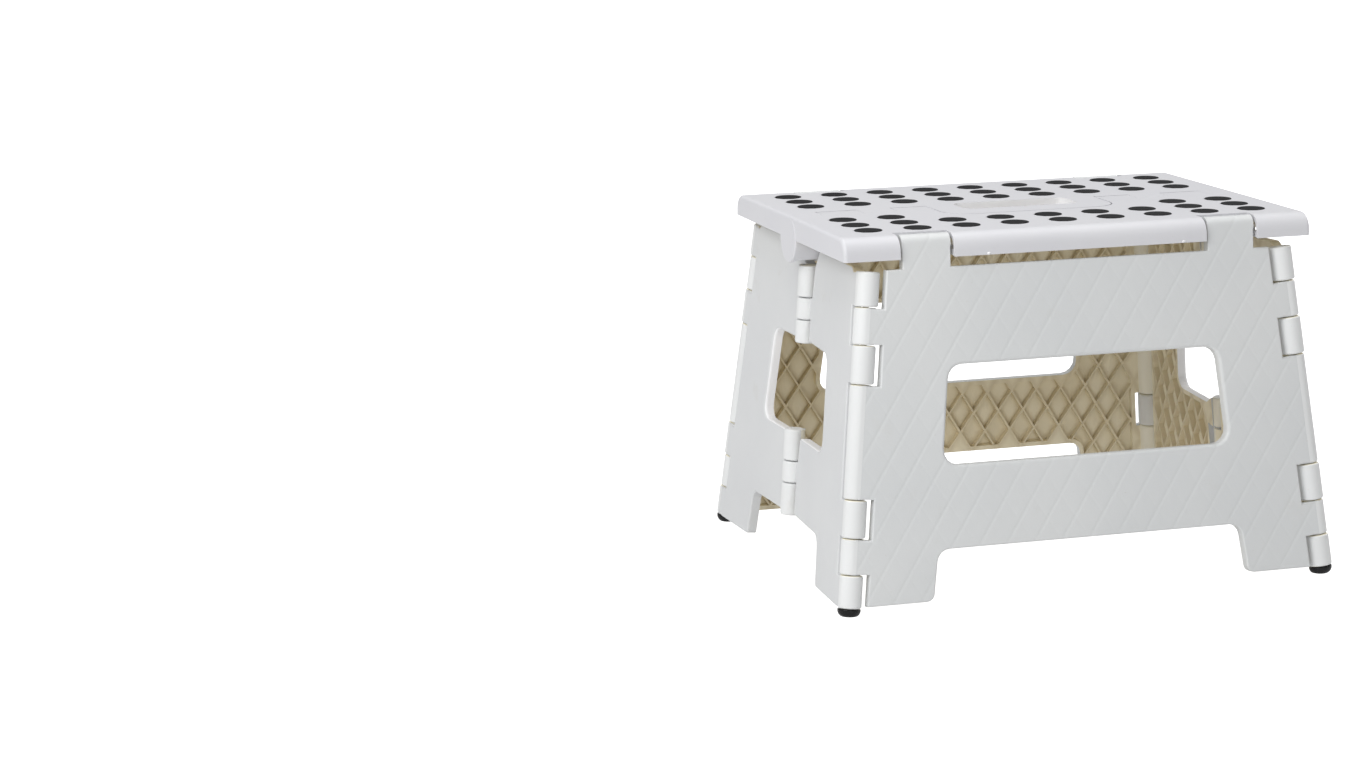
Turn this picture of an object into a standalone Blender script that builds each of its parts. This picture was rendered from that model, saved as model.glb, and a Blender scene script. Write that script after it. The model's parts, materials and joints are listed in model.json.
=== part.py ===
"""Folding step stool: white plastic panels, black grip dots and feet, standing open.

Metres, +Z up. The origin lies on the floor under the middle of the stool, +X runs along
the long side of the top, and the top half that carries the handle is at the back (+Y).
Lengths marked "up the leg" are measured along the leaning leg panel from the floor.
"""

import math

import bmesh
import bpy
from mathutils import Matrix, Vector

# Top
TOP_HEIGHT = 0.222          # floor to tread surface
TOP_LENGTH = 0.300
TOP_HALF_DEPTH = 0.109      # centre hinge to the long outer edge
PLATE = 0.0025              # tread plate thickness
SKIRT_DEPTH = 0.0137
SKIRT_WALL = 0.0025
EDGE_RADIUS = 0.010         # rounding of the long outer edge
RIB_DEPTH = 0.0085          # underside ribs, from the tread surface
RIB_WALL = 0.0018

# Centre hinge: round fingers of the two halves on one axis
FOLD_DEPTH = 0.014          # axis below the tread surface
FINGER_RADIUS = 0.0155
FINGER_GAP = 0.0005         # running gap round and between fingers
FINGER_WALL = 0.0025
FINGER_SLOT = 0.016          # width of the hollow that opens below each finger
HANDLE_WIDTH = 0.1136
INNER_FRONT_FINGER = 0.0236
REAR_FINGER = 0.0221
OUTER_FRONT_FINGER = 0.0270
STUB_RADIUS = 0.003         # hinge stubs moulded on the rear half
STUB_LENGTH = 0.0045

# Carrying handle
HANDLE_REACH = 0.035        # past the centre hinge
HANDLE_BAR = 0.020
HANDLE_ARM = 0.0189
HANDLE_THICKNESS = 0.0115
HANDLE_WALL = 0.003
HANDLE_CORNER = 0.016
HANDLE_GAP = 0.001          # round the handle in its recess
GRIP_WINDOW_BACK = 0.0116   # hand opening behind the centre hinge
GRIP_WINDOW_CORNER = 0.0055
GRIP_NOTCH_WIDTH = 0.007
GRIP_NOTCH_DEPTH = 0.002

# Grip dots, joined under the plate by a runner for each row
DOT_RADIUS = 0.0084
DOT_COLUMNS = 9
DOT_ROWS = 3
DOT_END_MARGIN = 0.0252     # last dot of a row to the end of the top
DOT_FIRST_ROW = 0.0313      # from the centre hinge
DOT_EDGE_MARGIN = 0.0309    # outer row to the long outer edge
DOT_PROUD = 0.0004
RUNNER_WIDTH = 0.005
RUNNER_THICKNESS = 0.0012
DOT_SIDES = 10

# Tab hinges between top and legs
TAB_INSET = 0.0088          # axis from the long outer edge
TAB_DEPTH = 0.006           # axis below the tread surface
TAB_FROM_END = 0.052        # middle of a tab to the end of the top
TAB_WIDTH = 0.0305
TAB_SIDE_GAP = 0.00175
TAB_END_GAP = 0.0015
TAB_WALL = 0.003
TAB_PIN_RADIUS = 0.002

# Leg panels
LEAN = math.radians(7.04)
CORNER_SPREAD = 0.0042      # corner hinge axis at the floor, past the end of the top
CORNER_TAPER = 0.105        # axis runs inward this much for each metre up the leg
CORNER_SET = 0.007          # corner axis to the plane where the folded halves meet
SKIN = 0.0025
SHOULDER_DROP = 0.0144      # shoulder below the tab axis, up the leg
LEG_BOTTOM = 0.0048
LEG_WINDOW_LOW = 0.0853
LEG_WINDOW_DROP = 0.0771    # the window's top, up the leg, is this much less than the tread's height
LEG_WINDOW_HALF = 0.0865    # half width at its top edge
LEG_WINDOW_CORNER = 0.009
ARCH_HIGH = 0.0354
ARCH_HALF = 0.098           # half width of the leg arch at its top
ARCH_FLARE = 0.14           # widening of the arch for each metre down
ARCH_CORNER = 0.008

# Corner hinges: knuckle lengths up the leg, from the top down and from the foot up
SIDE_TOP_KNUCKLE = 0.0212
LEG_UPPER_KNUCKLE = 0.0223
SIDE_UPPER_KNUCKLE = 0.0232
FOOT_HEIGHT = 0.00445
SIDE_FOOT_KNUCKLE = 0.01985
LEG_LOWER_KNUCKLE = 0.0216
SIDE_LOWER_KNUCKLE = 0.0228
KNUCKLE_GAP = 0.0008
KNUCKLE_NOTCH = 0.0029      # see-through gap between a side knuckle and its notch
ROD_RADIUS = 0.002
ROD_CAP = 0.0025            # closed end over a rod
FOOT_RADIUS = 0.007
FOOT_STEM = 0.005
FOOT_SINK = 0.0007          # flattened off the dome's lowest part

# Side panels, each of two halves that fold inward
SIDE_FOLD = math.radians(87.4)   # turn of a half from its folded to its open place
SIDE_RISE = 0.0012          # top edge above the leg's shoulder
SIDE_MID_DROP = 0.0097      # middle hinge below the shoulder
SIDE_FINGER_ROOM = 0.0170   # top edge stops this far from the middle hinge, for the tread's fingers
SIDE_WINDOW_INSET = 0.0035  # side openings stop short of the leg openings, folded
SIDE_WINDOW_CORNER = 0.008
MID_RADIUS = 0.0054
MID_FIRST_KNUCKLE = 0.0200
MID_CENTRE_KNUCKLE = 0.0140
MID_LOWER_RISE = 0.0047     # lower knuckles stand this far above the window's edge
MID_NOTCH = 0.0040          # room round a middle knuckle
MID_ROD_RADIUS = 0.00125
MID_SLACK = 0.00155         # play of the rod in the front half's knuckle
MID_SLACK_TURN = math.radians(142.0)

# Diamond ribs inside the leg and side panels
CELL_WIDTH = 0.0358
CELL_HEIGHT = 0.0552
CELL_RIB = 0.0015
CELL_BORDER = 0.003
CELL_LEAST = 0.00006        # smaller pockets, in square metres, stay solid

CLEAR = 0.0003              # between pieces that touch
SEAT = 0.0002               # flat stock ends this far inside the round it runs into
WELD = 0.000004             # points closer than this are one
OVERRUN = 0.002             # cutters reach this far past what they cut
ROUND_SIDES = 12
WIDE_SIDES = 20
BORE_SIDES = 8
CORNER_STEPS = 4
EDGE_STEPS = 6
DOME_STEPS = 5
FLAT = math.radians(0.05)   # faces nearer to one plane than this are one
SHARP = math.radians(32.0)  # edges sharper than this stay sharp in the shading

# Places that follow from the sizes above
TREAD = TOP_HEIGHT
UNDER_PLATE = TREAD - PLATE
SKIRT_LOW = TREAD - SKIRT_DEPTH
DOT_PITCH = (TOP_LENGTH - 2 * DOT_END_MARGIN) / (DOT_COLUMNS - 1)
DOT_ROW_PITCH = (TOP_HALF_DEPTH - DOT_FIRST_ROW - DOT_EDGE_MARGIN) / (DOT_ROWS - 1)
FOLD_Z = TREAD - FOLD_DEPTH
TAB_Y = TOP_HALF_DEPTH - TAB_INSET
TAB_Z = TREAD - TAB_DEPTH
TAB_PLACE = TOP_LENGTH / 2 - TAB_FROM_END       # from the middle of the top
CORNER_HALF = TOP_LENGTH / 2 + CORNER_SPREAD
TAB_UP = TAB_Z / math.cos(LEAN)                 # tab axis, up the leg
SHOULDER_UP = TAB_UP - SHOULDER_DROP
LEG_WINDOW_HIGH = TREAD - LEG_WINDOW_DROP
SIDE_TOP = SHOULDER_UP + SIDE_RISE
SIDE_MID_TOP = SHOULDER_UP - SIDE_MID_DROP
MID_LOWER_TOP = LEG_WINDOW_LOW + MID_LOWER_RISE
CORNER_BACK = CORNER_SET - (FOLD_DEPTH - TAB_DEPTH)   # corner axis from the tab axis, outward
BARREL_RADIUS = CORNER_SET - CLEAR / 2
LEG_OUTER = CORNER_BACK + BARREL_RADIUS - SEAT  # outer face in the leg's own frame
LEG_INNER = CORNER_BACK + CLEAR
TAB_RADIUS = CORNER_BACK + BARREL_RADIUS
TAPER = math.atan(CORNER_TAPER)

WHITE = (0.86, 0.86, 0.88, 1.0)
WARM_WHITE = (0.84, 0.82, 0.76, 1.0)
BLACK = (0.020, 0.020, 0.022, 1.0)
STEEL = (0.55, 0.55, 0.56, 1.0)


def material(name, colour, roughness, metallic=0.0):
    made = bpy.data.materials.new(name)
    made.use_nodes = True
    shader = made.node_tree.nodes["Principled BSDF"]
    shader.inputs["Base Color"].default_value = colour
    shader.inputs["Roughness"].default_value = roughness
    shader.inputs["Metallic"].default_value = metallic
    return made


def new_object(name, mesh_maker):
    mesh = bpy.data.meshes.new(name)
    bm = mesh_maker
    bmesh.ops.recalc_face_normals(bm, faces=bm.faces)
    bm.to_mesh(mesh)
    bm.free()
    made = bpy.data.objects.new(name, mesh)
    bpy.context.collection.objects.link(made)
    return made


def prism(outline, low, high, along):
    """Solid from a closed outline; the outline's two axes are the other two, in order."""
    bm = bmesh.new()

    def place(point, depth):
        if along == "X":
            return (depth, point[0], point[1])
        if along == "Y":
            return (point[0], depth, point[1])
        return (point[0], point[1], depth)

    base = bm.faces.new([bm.verts.new(place(point, low)) for point in outline])
    grown = bmesh.ops.extrude_face_region(bm, geom=[base])
    shift = Vector(place((0.0, 0.0), high - low))
    moved = [item for item in grown["geom"] if isinstance(item, bmesh.types.BMVert)]
    bmesh.ops.translate(bm, vec=shift, verts=moved)
    return new_object("work", bm)


def box(x_range, y_range, z_range):
    outline = [(x_range[0], z_range[0]), (x_range[1], z_range[0]),
               (x_range[1], z_range[1]), (x_range[0], z_range[1])]
    return prism(outline, y_range[0], y_range[1], "Y")


def rod(start, end, radius, sides):
    """Cylinder between two points."""
    start = Vector(start)
    end = Vector(end)
    bm = bmesh.new()
    bmesh.ops.create_cone(bm, cap_ends=True, segments=sides, radius1=radius, radius2=radius,
                          depth=(end - start).length)
    turn = Vector((0.0, 0.0, 1.0)).rotation_difference(end - start).to_matrix().to_4x4()
    bm.transform(Matrix.Translation((start + end) / 2) @ turn)
    return new_object("work", bm)


def boolean(target, other, operation):
    step = target.modifiers.new("step", "BOOLEAN")
    step.operation = operation
    step.solver = "EXACT"
    step.object = other
    graph = bpy.context.evaluated_depsgraph_get()
    result = bpy.data.meshes.new_from_object(target.evaluated_get(graph))
    target.modifiers.remove(step)
    bm = bmesh.new()
    bm.from_mesh(result)
    bmesh.ops.remove_doubles(bm, verts=bm.verts, dist=WELD)
    bmesh.ops.dissolve_degenerate(bm, edges=bm.edges, dist=WELD)
    bm.to_mesh(result)
    bm.free()
    old = target.data
    target.data = result
    bpy.data.meshes.remove(old)
    spent = other.data
    bpy.data.objects.remove(other)
    bpy.data.meshes.remove(spent)
    return target


def join(target, *others):
    for other in others:
        boolean(target, other, "UNION")
    return target


def cut(target, *others):
    for other in others:
        boolean(target, other, "DIFFERENCE")
    return target


def arc(centre, radius, start, end, steps):
    points = []
    for step in range(steps + 1):
        angle = math.radians(start + (end - start) * step / steps)
        points.append((centre[0] + radius * math.cos(angle), centre[1] + radius * math.sin(angle)))
    return points


def rounded(corners):
    """Outline from (point, radius) corners, each with its own fillet."""
    outline = []
    for index, (point, radius) in enumerate(corners):
        here = Vector(point)
        if radius <= 0.0:
            outline.append(tuple(here))
            continue
        before = (Vector(corners[index - 1][0]) - here).normalized()
        after = (Vector(corners[(index + 1) % len(corners)][0]) - here).normalized()
        half = before.angle(after) / 2
        reach = radius / math.tan(half)
        centre = here + (before + after).normalized() * (radius / math.sin(half))
        first = here + before * reach - centre
        last = here + after * reach - centre
        sweep = first.angle_signed(last)
        for step in range(CORNER_STEPS + 1):
            turn = Matrix.Rotation(-sweep * step / CORNER_STEPS, 2)
            outline.append(tuple(centre + turn @ first))
    return outline


def mirrored(outline):
    """An outline that runs up its left half, closed by its mirror image."""
    return outline + [(-x, y) for x, y in reversed(outline)]


def finish(item, name, shade, place=None):
    item.name = name
    item.data.name = name
    item.data.materials.clear()
    item.data.materials.append(shade)
    bm = bmesh.new()
    bm.from_mesh(item.data)
    bmesh.ops.dissolve_limit(bm, angle_limit=FLAT, verts=bm.verts, edges=bm.edges)
    bm.to_mesh(item.data)
    bm.free()
    item.data.shade_smooth()
    item.data.set_sharp_from_angle(angle=SHARP)
    if place is not None:
        item.matrix_world = place
    return item


def set_origin(item, point):
    item.data.transform(Matrix.Translation(-Vector(point)))
    item.location = point
    return item


# Finger bands along the centre hinge, each as (near, far, half of the top) from the middle
def finger_bands():
    edges = [HANDLE_WIDTH / 2]
    for width in (INNER_FRONT_FINGER, REAR_FINGER, OUTER_FRONT_FINGER):
        edges.append(edges[-1] + width)
    edges.append(TOP_LENGTH / 2 + FINGER_GAP)
    owners = ("front", "rear", "front", "rear")
    bands = [(edges[0] - HANDLE_ARM, edges[0], "rear")]
    for near, far, owner in zip(edges, edges[1:], owners):
        bands.append((near, far, owner))
    return bands


def dot_rows(half):
    """Rows of dots as (name, distance from the centre hinge, x places)."""
    places = [(column - (DOT_COLUMNS - 1) / 2) * DOT_PITCH for column in range(DOT_COLUMNS)]
    names = ("inner", "middle", "outer")
    rows = []
    for row in range(DOT_ROWS):
        distance = DOT_FIRST_ROW + row * DOT_ROW_PITCH
        covered = HANDLE_REACH + HANDLE_GAP + SKIRT_WALL > distance - DOT_RADIUS
        if half == "front" and covered:
            clear_of = HANDLE_WIDTH / 2 + HANDLE_GAP + SKIRT_WALL + DOT_RADIUS
            rows.append((names[row] + "_left", distance, [x for x in places if x < -clear_of]))
            rows.append((names[row] + "_right", distance, [x for x in places if x > clear_of]))
        else:
            rows.append((names[row], distance, places))
    return rows


def grip_strip(distance, places, clearance, top):
    """Dots of one row on their runner; a clearance above zero makes the cutter for it."""
    low = UNDER_PLATE - CLEAR - RUNNER_THICKNESS - clearance
    radius = DOT_RADIUS + clearance
    half_width = RUNNER_WIDTH / 2 + clearance
    reach = DOT_RADIUS / 2
    strip = box((places[0] - reach, places[-1] + reach), (distance - half_width, distance + half_width),
                (low, UNDER_PLATE - CLEAR + clearance * 2))
    for x in places:
        join(strip, rod((x, distance, low), (x, distance, top), radius, DOT_SIDES))
    return strip


def shell(inset):
    """Section of the rear half across the stool, y and z, drawn in by a wall."""
    edge = TOP_HALF_DEPTH - inset
    plate = inset * PLATE / SKIRT_WALL
    low = SKIRT_LOW - (OVERRUN if inset else 0.0)
    radius = EDGE_RADIUS - inset
    start = -OVERRUN if inset else 0.0
    turn = arc((TOP_HALF_DEPTH - EDGE_RADIUS, TREAD - EDGE_RADIUS), radius, 0.0, 90.0, EDGE_STEPS)
    turn[-1] = (turn[-1][0], TREAD - plate)
    return [(start, low), (edge, low)] + turn + [(start, TREAD - plate)]


def both_sides(make, near, far):
    return [make(near, far), make(-far, -near)]


def finger(near, far):
    """Round finger on the centre axis, cut level with the tread and open below."""
    body = rod((near, 0.0, FOLD_Z), (far, 0.0, FOLD_Z), FINGER_RADIUS, WIDE_SIDES)
    wide = 2 * FINGER_RADIUS
    cut(body, box((near - OVERRUN, far + OVERRUN), (-wide, wide), (TREAD, TREAD + wide)))
    slot = FINGER_SLOT / 2
    cut(body, box((near + FINGER_WALL, far - FINGER_WALL), (-slot, slot),
                  (FOLD_Z - wide, UNDER_PLATE)))
    return body


def finger_room(near, far):
    """Cutter that frees one half from a finger of the other."""
    return rod((near, 0.0, FOLD_Z), (far, 0.0, FOLD_Z), FINGER_RADIUS + FINGER_GAP, WIDE_SIDES)


def handle_outline(grow):
    wide = HANDLE_WIDTH / 2 - FINGER_GAP + grow
    reach = HANDLE_REACH + grow
    back = GRIP_WINDOW_BACK + HANDLE_WALL
    corner = HANDLE_CORNER + grow
    return rounded([((-wide, back), 0.0), ((-wide, -reach), corner), ((wide, -reach), corner),
                    ((wide, back), 0.0)])


def grip_window():
    half = HANDLE_WIDTH / 2 - HANDLE_ARM
    front = HANDLE_BAR - HANDLE_REACH
    notch = GRIP_NOTCH_WIDTH / 2
    return rounded([((-half, GRIP_WINDOW_BACK), GRIP_WINDOW_CORNER), ((-half, front), GRIP_WINDOW_CORNER),
                    ((-notch, front), 0.0), ((0.0, front - GRIP_NOTCH_DEPTH), 0.0), ((notch, front), 0.0),
                    ((half, front), GRIP_WINDOW_CORNER), ((half, GRIP_WINDOW_BACK), GRIP_WINDOW_CORNER)])


def top_half(half):
    """One half of the tread, drawn at the back and turned about Z for the front one."""
    length = TOP_LENGTH / 2
    body = prism(shell(0.0), -length, length, "X")
    cut(body, prism(shell(SKIRT_WALL), SKIRT_WALL - length, length - SKIRT_WALL, "X"))

    # Underside ribs between the dots
    recess = HANDLE_REACH + HANDLE_GAP + SKIRT_WALL
    notch_back = TAB_Y - TAB_RADIUS - TAB_END_GAP
    rib_low = TREAD - RIB_DEPTH
    rib_end = notch_back - SKIRT_WALL / 2
    for column in range(1, DOT_COLUMNS // 2, 2):
        for side in (-1, 1):
            x = side * (column + 0.5) * DOT_PITCH
            behind_handle = half == "front" and abs(x) < HANDLE_WIDTH / 2 + HANDLE_GAP + SKIRT_WALL
            start = recess - SKIRT_WALL / 2 if behind_handle else FINGER_RADIUS
            join(body, box((x - RIB_WALL / 2, x + RIB_WALL / 2), (start, rib_end),
                           (rib_low, UNDER_PLATE + PLATE / 2)))
    for row in range(1, DOT_ROWS):
        y = DOT_FIRST_ROW + (row - 0.5) * DOT_ROW_PITCH
        join(body, box((SKIRT_WALL / 2 - length, length - SKIRT_WALL / 2), (y - RIB_WALL / 2, y + RIB_WALL / 2),
                       (rib_low, UNDER_PLATE + PLATE / 2)))

    # Notches for the leg tabs, walled on three sides
    room = TAB_WIDTH / 2 + TAB_SIDE_GAP
    wall_low = SKIRT_LOW + CLEAR
    for side in (-1, 1):
        middle = side * TAB_PLACE
        join(body, box((middle - room - TAB_WALL, middle + room + TAB_WALL),
                       (notch_back - SKIRT_WALL, TOP_HALF_DEPTH - SKIRT_WALL / 2),
                       (wall_low, TREAD - EDGE_RADIUS)))
        join(body, box((middle - room - TAB_WALL, middle + room + TAB_WALL),
                       (notch_back - SKIRT_WALL, TOP_HALF_DEPTH - EDGE_RADIUS),
                       (wall_low, UNDER_PLATE + PLATE / 2)))
        cut(body, box((middle - room, middle + room), (notch_back, TOP_HALF_DEPTH + OVERRUN),
                      (SKIRT_LOW - OVERRUN, TREAD + OVERRUN)))
        pin_half = room + TAB_WALL + OVERRUN
        cut(body, rod((middle - pin_half, TAB_Y, TAB_Z), (middle + pin_half, TAB_Y, TAB_Z),
                      TAB_PIN_RADIUS + CLEAR, BORE_SIDES))

    # Centre hinge: free the other half's fingers, then add this half's own
    bands = finger_bands()
    for near, far, owner in bands:
        if owner != half:
            outer = far + OVERRUN if far > length else far
            cut(body, *both_sides(finger_room, near, outer))
    for near, far, owner in bands:
        if owner == half:
            join(body, *both_sides(finger, near + FINGER_GAP / 2, far - FINGER_GAP / 2 - (
                FINGER_GAP / 2 if far > length else 0.0)))

    if half == "rear":
        # Handle loop with its hand opening, hollow below
        low = TREAD - HANDLE_THICKNESS
        join(body, prism(handle_outline(0.0), low, TREAD, "Z"))
        cut(body, prism(grip_window(), FOLD_Z - 2 * FINGER_RADIUS, TREAD + OVERRUN, "Z"))
        hollow = HANDLE_WIDTH / 2 - HANDLE_CORNER
        cut(body, box((-hollow, hollow), (HANDLE_WALL - HANDLE_REACH,
                                          HANDLE_BAR - HANDLE_REACH - GRIP_NOTCH_DEPTH - HANDLE_WALL),
                      (low - OVERRUN, TREAD - HANDLE_WALL)))
        # Stubs from each rear finger into the front fingers beside it
        for near, far, owner in bands:
            if owner != "front":
                continue
            for side in (-1, 1):
                for face, way in ((near, 1), (far, -1)):
                    start = side * (face - way * FINGER_WALL / 2)
                    end = side * (face + way * STUB_LENGTH)
                    join(body, rod((start, 0.0, FOLD_Z), (end, 0.0, FOLD_Z), STUB_RADIUS, BORE_SIDES))
    else:
        # Recess for the handle, walled on three sides
        turn = Matrix.Rotation(math.pi, 4, "Z")
        wall = prism(handle_outline(HANDLE_GAP + SKIRT_WALL), SKIRT_LOW + CLEAR, UNDER_PLATE + PLATE / 2, "Z")
        wall.data.transform(turn)
        keep = finger_room(-TOP_LENGTH, TOP_LENGTH)
        cut(wall, box((-TOP_LENGTH, TOP_LENGTH), (-TOP_LENGTH, FINGER_RADIUS), (0.0, TREAD)), keep)
        join(body, wall)
        recess_cut = prism(handle_outline(HANDLE_GAP), FOLD_Z - 2 * FINGER_RADIUS, TREAD + OVERRUN, "Z")
        recess_cut.data.transform(turn)
        cut(body, recess_cut)
        for near, far, owner in bands:
            if owner != "front":
                continue
            for side in (-1, 1):
                for face, way in ((near, 1), (far, -1)):
                    start = side * (face - way * OVERRUN)
                    end = side * (face + way * (FINGER_WALL + OVERRUN))
                    cut(body, rod((start, 0.0, FOLD_Z), (end, 0.0, FOLD_Z), STUB_RADIUS + CLEAR, BORE_SIDES))

    # Holes and rib gaps for the grip strips
    for _, distance, places in dot_rows(half):
        cut(body, grip_strip(distance, places, CLEAR, TREAD + OVERRUN))
    return body


def knuckle_bands():
    """Corner hinge knuckles from the foot up, as (low, high, owner) up the leg."""
    bands = []
    low = FOOT_HEIGHT
    for length, owner in ((SIDE_FOOT_KNUCKLE, "side"), (LEG_LOWER_KNUCKLE, "leg"), (SIDE_LOWER_KNUCKLE, "side")):
        bands.append((low, low + length, owner))
        low += length
    upper = []
    high = SHOULDER_UP
    for length, owner in ((SIDE_TOP_KNUCKLE, "side"), (LEG_UPPER_KNUCKLE, "leg"), (SIDE_UPPER_KNUCKLE, "side")):
        upper.append((high - length, high, owner))
        high -= length
    return bands + [(low, high, "leg")] + upper[::-1]


def corner_point(across, along):
    """Point in the leg's plane (x, up the leg) from the left corner axis: across it and along it."""
    x = across * math.cos(TAPER) + along * math.sin(TAPER) - CORNER_HALF
    return (x, along * math.cos(TAPER) - across * math.sin(TAPER))


def corner_coordinates(x, up):
    """The reverse of corner_point."""
    from_axis = x + CORNER_HALF
    return (from_axis * math.cos(TAPER) - up * math.sin(TAPER),
            from_axis * math.sin(TAPER) + up * math.cos(TAPER))


def along_axis(up):
    return up / math.cos(TAPER)


def arch_half(up, inset):
    return ARCH_HALF - inset + ARCH_FLARE * (ARCH_HIGH - up)


def window_half(up, inset):
    return LEG_WINDOW_HALF - inset + CORNER_TAPER * (LEG_WINDOW_HIGH - up)


def leg_window(grow):
    """Window outline in the leg's plane."""
    low = LEG_WINDOW_LOW - grow
    high = LEG_WINDOW_HIGH + grow
    corner = LEG_WINDOW_CORNER + grow
    return rounded([((-window_half(low, -grow), low), corner), ((window_half(low, -grow), low), corner),
                    ((window_half(high, -grow), high), corner), ((-window_half(high, -grow), high), corner)])


def leg_arch(grow):
    """Arch outline under the leg panel, run out past its bottom edge."""
    low = LEG_BOTTOM - OVERRUN - grow
    high = ARCH_HIGH + grow
    corner = ARCH_CORNER + grow
    return rounded([((-arch_half(low, -grow), low), 0.0), ((arch_half(low, -grow), low), 0.0),
                    ((arch_half(high, -grow), high), corner), ((-arch_half(high, -grow), high), corner)])


def to_leg(outline):
    """Outline up the leg, moved to the leg's frame with the tab axis at its origin."""
    return [(x, up - TAB_UP) for x, up in outline]


def diamond_cells(region, x_range, z_range, y_range):
    """Cutter for the pockets: a region's prism less two families of slanting ribs."""
    slope = CELL_HEIGHT / CELL_WIDTH
    slant = math.hypot(1.0, slope)
    half = CELL_RIB * slant / slope / 2
    low, high = z_range[0] - OVERRUN, z_range[1] + OVERRUN
    run = (high - low) / slope
    count = math.ceil((x_range[1] - x_range[0] + run) / CELL_WIDTH) + 1
    for way in (1, -1):
        bm = bmesh.new()
        for index in range(count):
            foot = x_range[0] - run + index * CELL_WIDTH if way > 0 else x_range[0] + index * CELL_WIDTH
            tip = foot + way * run
            corners = [(foot - half, low), (foot + half, low), (tip + half, high), (tip - half, high)]
            near = [bm.verts.new((x, y_range[0] - OVERRUN, z)) for x, z in corners]
            far = [bm.verts.new((x, y_range[1] + OVERRUN, z)) for x, z in corners]
            bm.faces.new(near)
            bm.faces.new(far[::-1])
            for a in range(4):
                b = (a + 1) % 4
                bm.faces.new((near[b], near[a], far[a], far[b]))
        cut(region, new_object("ribs", bm))
    drop_small_pockets(region, CELL_LEAST * (y_range[1] - y_range[0]))
    return region


def drop_small_pockets(region, least):
    """Take the separate bodies below a volume out of a cutter."""
    bm = bmesh.new()
    bm.from_mesh(region.data)
    left = set(bm.faces)
    spent = []
    while left:
        island = [left.pop()]
        for face in island:
            for edge in face.edges:
                for other in edge.link_faces:
                    if other in left:
                        left.remove(other)
                        island.append(other)
        volume = sum(face.calc_area() * face.normal.dot(face.calc_center_median()) for face in island) / 3
        if volume < least:
            spent += island
    bmesh.ops.delete(bm, geom=spent, context="FACES")
    bm.to_mesh(region.data)
    bm.free()


def leg_panel():
    """Leg panel in its own frame: tab axis at the origin, Y outward, Z up the leg."""
    notch = BARREL_RADIUS + KNUCKLE_NOTCH
    gap = KNUCKLE_GAP / 2
    bands = knuckle_bands()
    left = [(-arch_half(LEG_BOTTOM, 0.0) - CELL_BORDER, LEG_BOTTOM)]
    foot = corner_point(notch, along_axis(LEG_BOTTOM))
    left.append((foot[0], LEG_BOTTOM))
    for low, high, owner in bands:
        if owner == "leg":
            start, end = along_axis(low) + gap + SEAT, along_axis(high) - gap - SEAT
            left += [corner_point(notch, start), corner_point(-SEAT, start),
                     corner_point(-SEAT, end), corner_point(notch, end)]
    shoulder = corner_point(notch, along_axis(SHOULDER_UP))
    left.append((shoulder[0], SHOULDER_UP))
    for x in (SEAT - TAB_PLACE - TAB_WIDTH / 2, TAB_WIDTH / 2 - TAB_PLACE - SEAT):
        ends = [SHOULDER_UP, TAB_UP]
        left += [(x, up) for up in (ends if x < -TAB_PLACE else ends[::-1])]
    body = prism(to_leg(mirrored(left)), LEG_INNER, LEG_OUTER, "Y")
    cut(body, prism(to_leg(leg_arch(0.0)), LEG_INNER - OVERRUN, LEG_OUTER + OVERRUN, "Y"))
    cut(body, prism(to_leg(leg_window(0.0)), LEG_INNER - OVERRUN, LEG_OUTER + OVERRUN, "Y"))

    # Diamond pockets open to the inside
    skin = LEG_OUTER - SKIN
    pocket_low = LEG_BOTTOM + CELL_BORDER
    pocket_high = SHOULDER_UP - CELL_BORDER
    edge = notch + CELL_BORDER
    low_x = corner_point(edge, along_axis(pocket_low))[0]
    high_x = corner_point(edge, along_axis(pocket_high))[0]
    region = prism(to_leg(mirrored([(low_x, pocket_low), (high_x, pocket_high)])),
                   LEG_INNER - OVERRUN, skin, "Y")
    cut(region, prism(to_leg(leg_arch(CELL_BORDER)), LEG_INNER - 2 * OVERRUN, skin + OVERRUN, "Y"))
    cut(region, prism(to_leg(leg_window(CELL_BORDER)), LEG_INNER - 2 * OVERRUN, skin + OVERRUN, "Y"))
    diamond_cells(region, (low_x, -low_x), (pocket_low - TAB_UP, pocket_high - TAB_UP),
                  (LEG_INNER - OVERRUN, skin))
    cut(body, region)

    # Tab knuckles and corner barrels with their bores
    for side in (-1, 1):
        middle = side * TAB_PLACE
        join(body, rod((middle - TAB_WIDTH / 2, 0.0, 0.0), (middle + TAB_WIDTH / 2, 0.0, 0.0), TAB_RADIUS,
                       WIDE_SIDES))
    bore_end = TAB_PLACE + TAB_WIDTH / 2 + OVERRUN
    cut(body, rod((-bore_end, 0.0, 0.0), (bore_end, 0.0, 0.0), TAB_PIN_RADIUS + CLEAR, BORE_SIDES))
    for side in (-1, 1):
        for low, high, owner in bands:
            if owner != "leg":
                continue
            ends = []
            for along, shift in ((along_axis(low), gap), (along_axis(high), -gap)):
                x, up = corner_point(0.0, along + shift)
                ends.append(Vector((-side * x, CORNER_BACK, up - TAB_UP)))
            join(body, rod(ends[0], ends[1], BARREL_RADIUS, ROUND_SIDES))
            reach = (ends[1] - ends[0]).normalized() * OVERRUN
            cut(body, rod(ends[0] - reach, ends[1] + reach, ROD_RADIUS + CLEAR, BORE_SIDES))
    return body


def leg_matrix(half):
    place = Matrix.Translation((0.0, TAB_Y, TAB_Z)) @ Matrix.Rotation(LEAN, 4, "X")
    if half == "front":
        place = Matrix.Rotation(math.pi, 4, "Z") @ place
    return place


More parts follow.
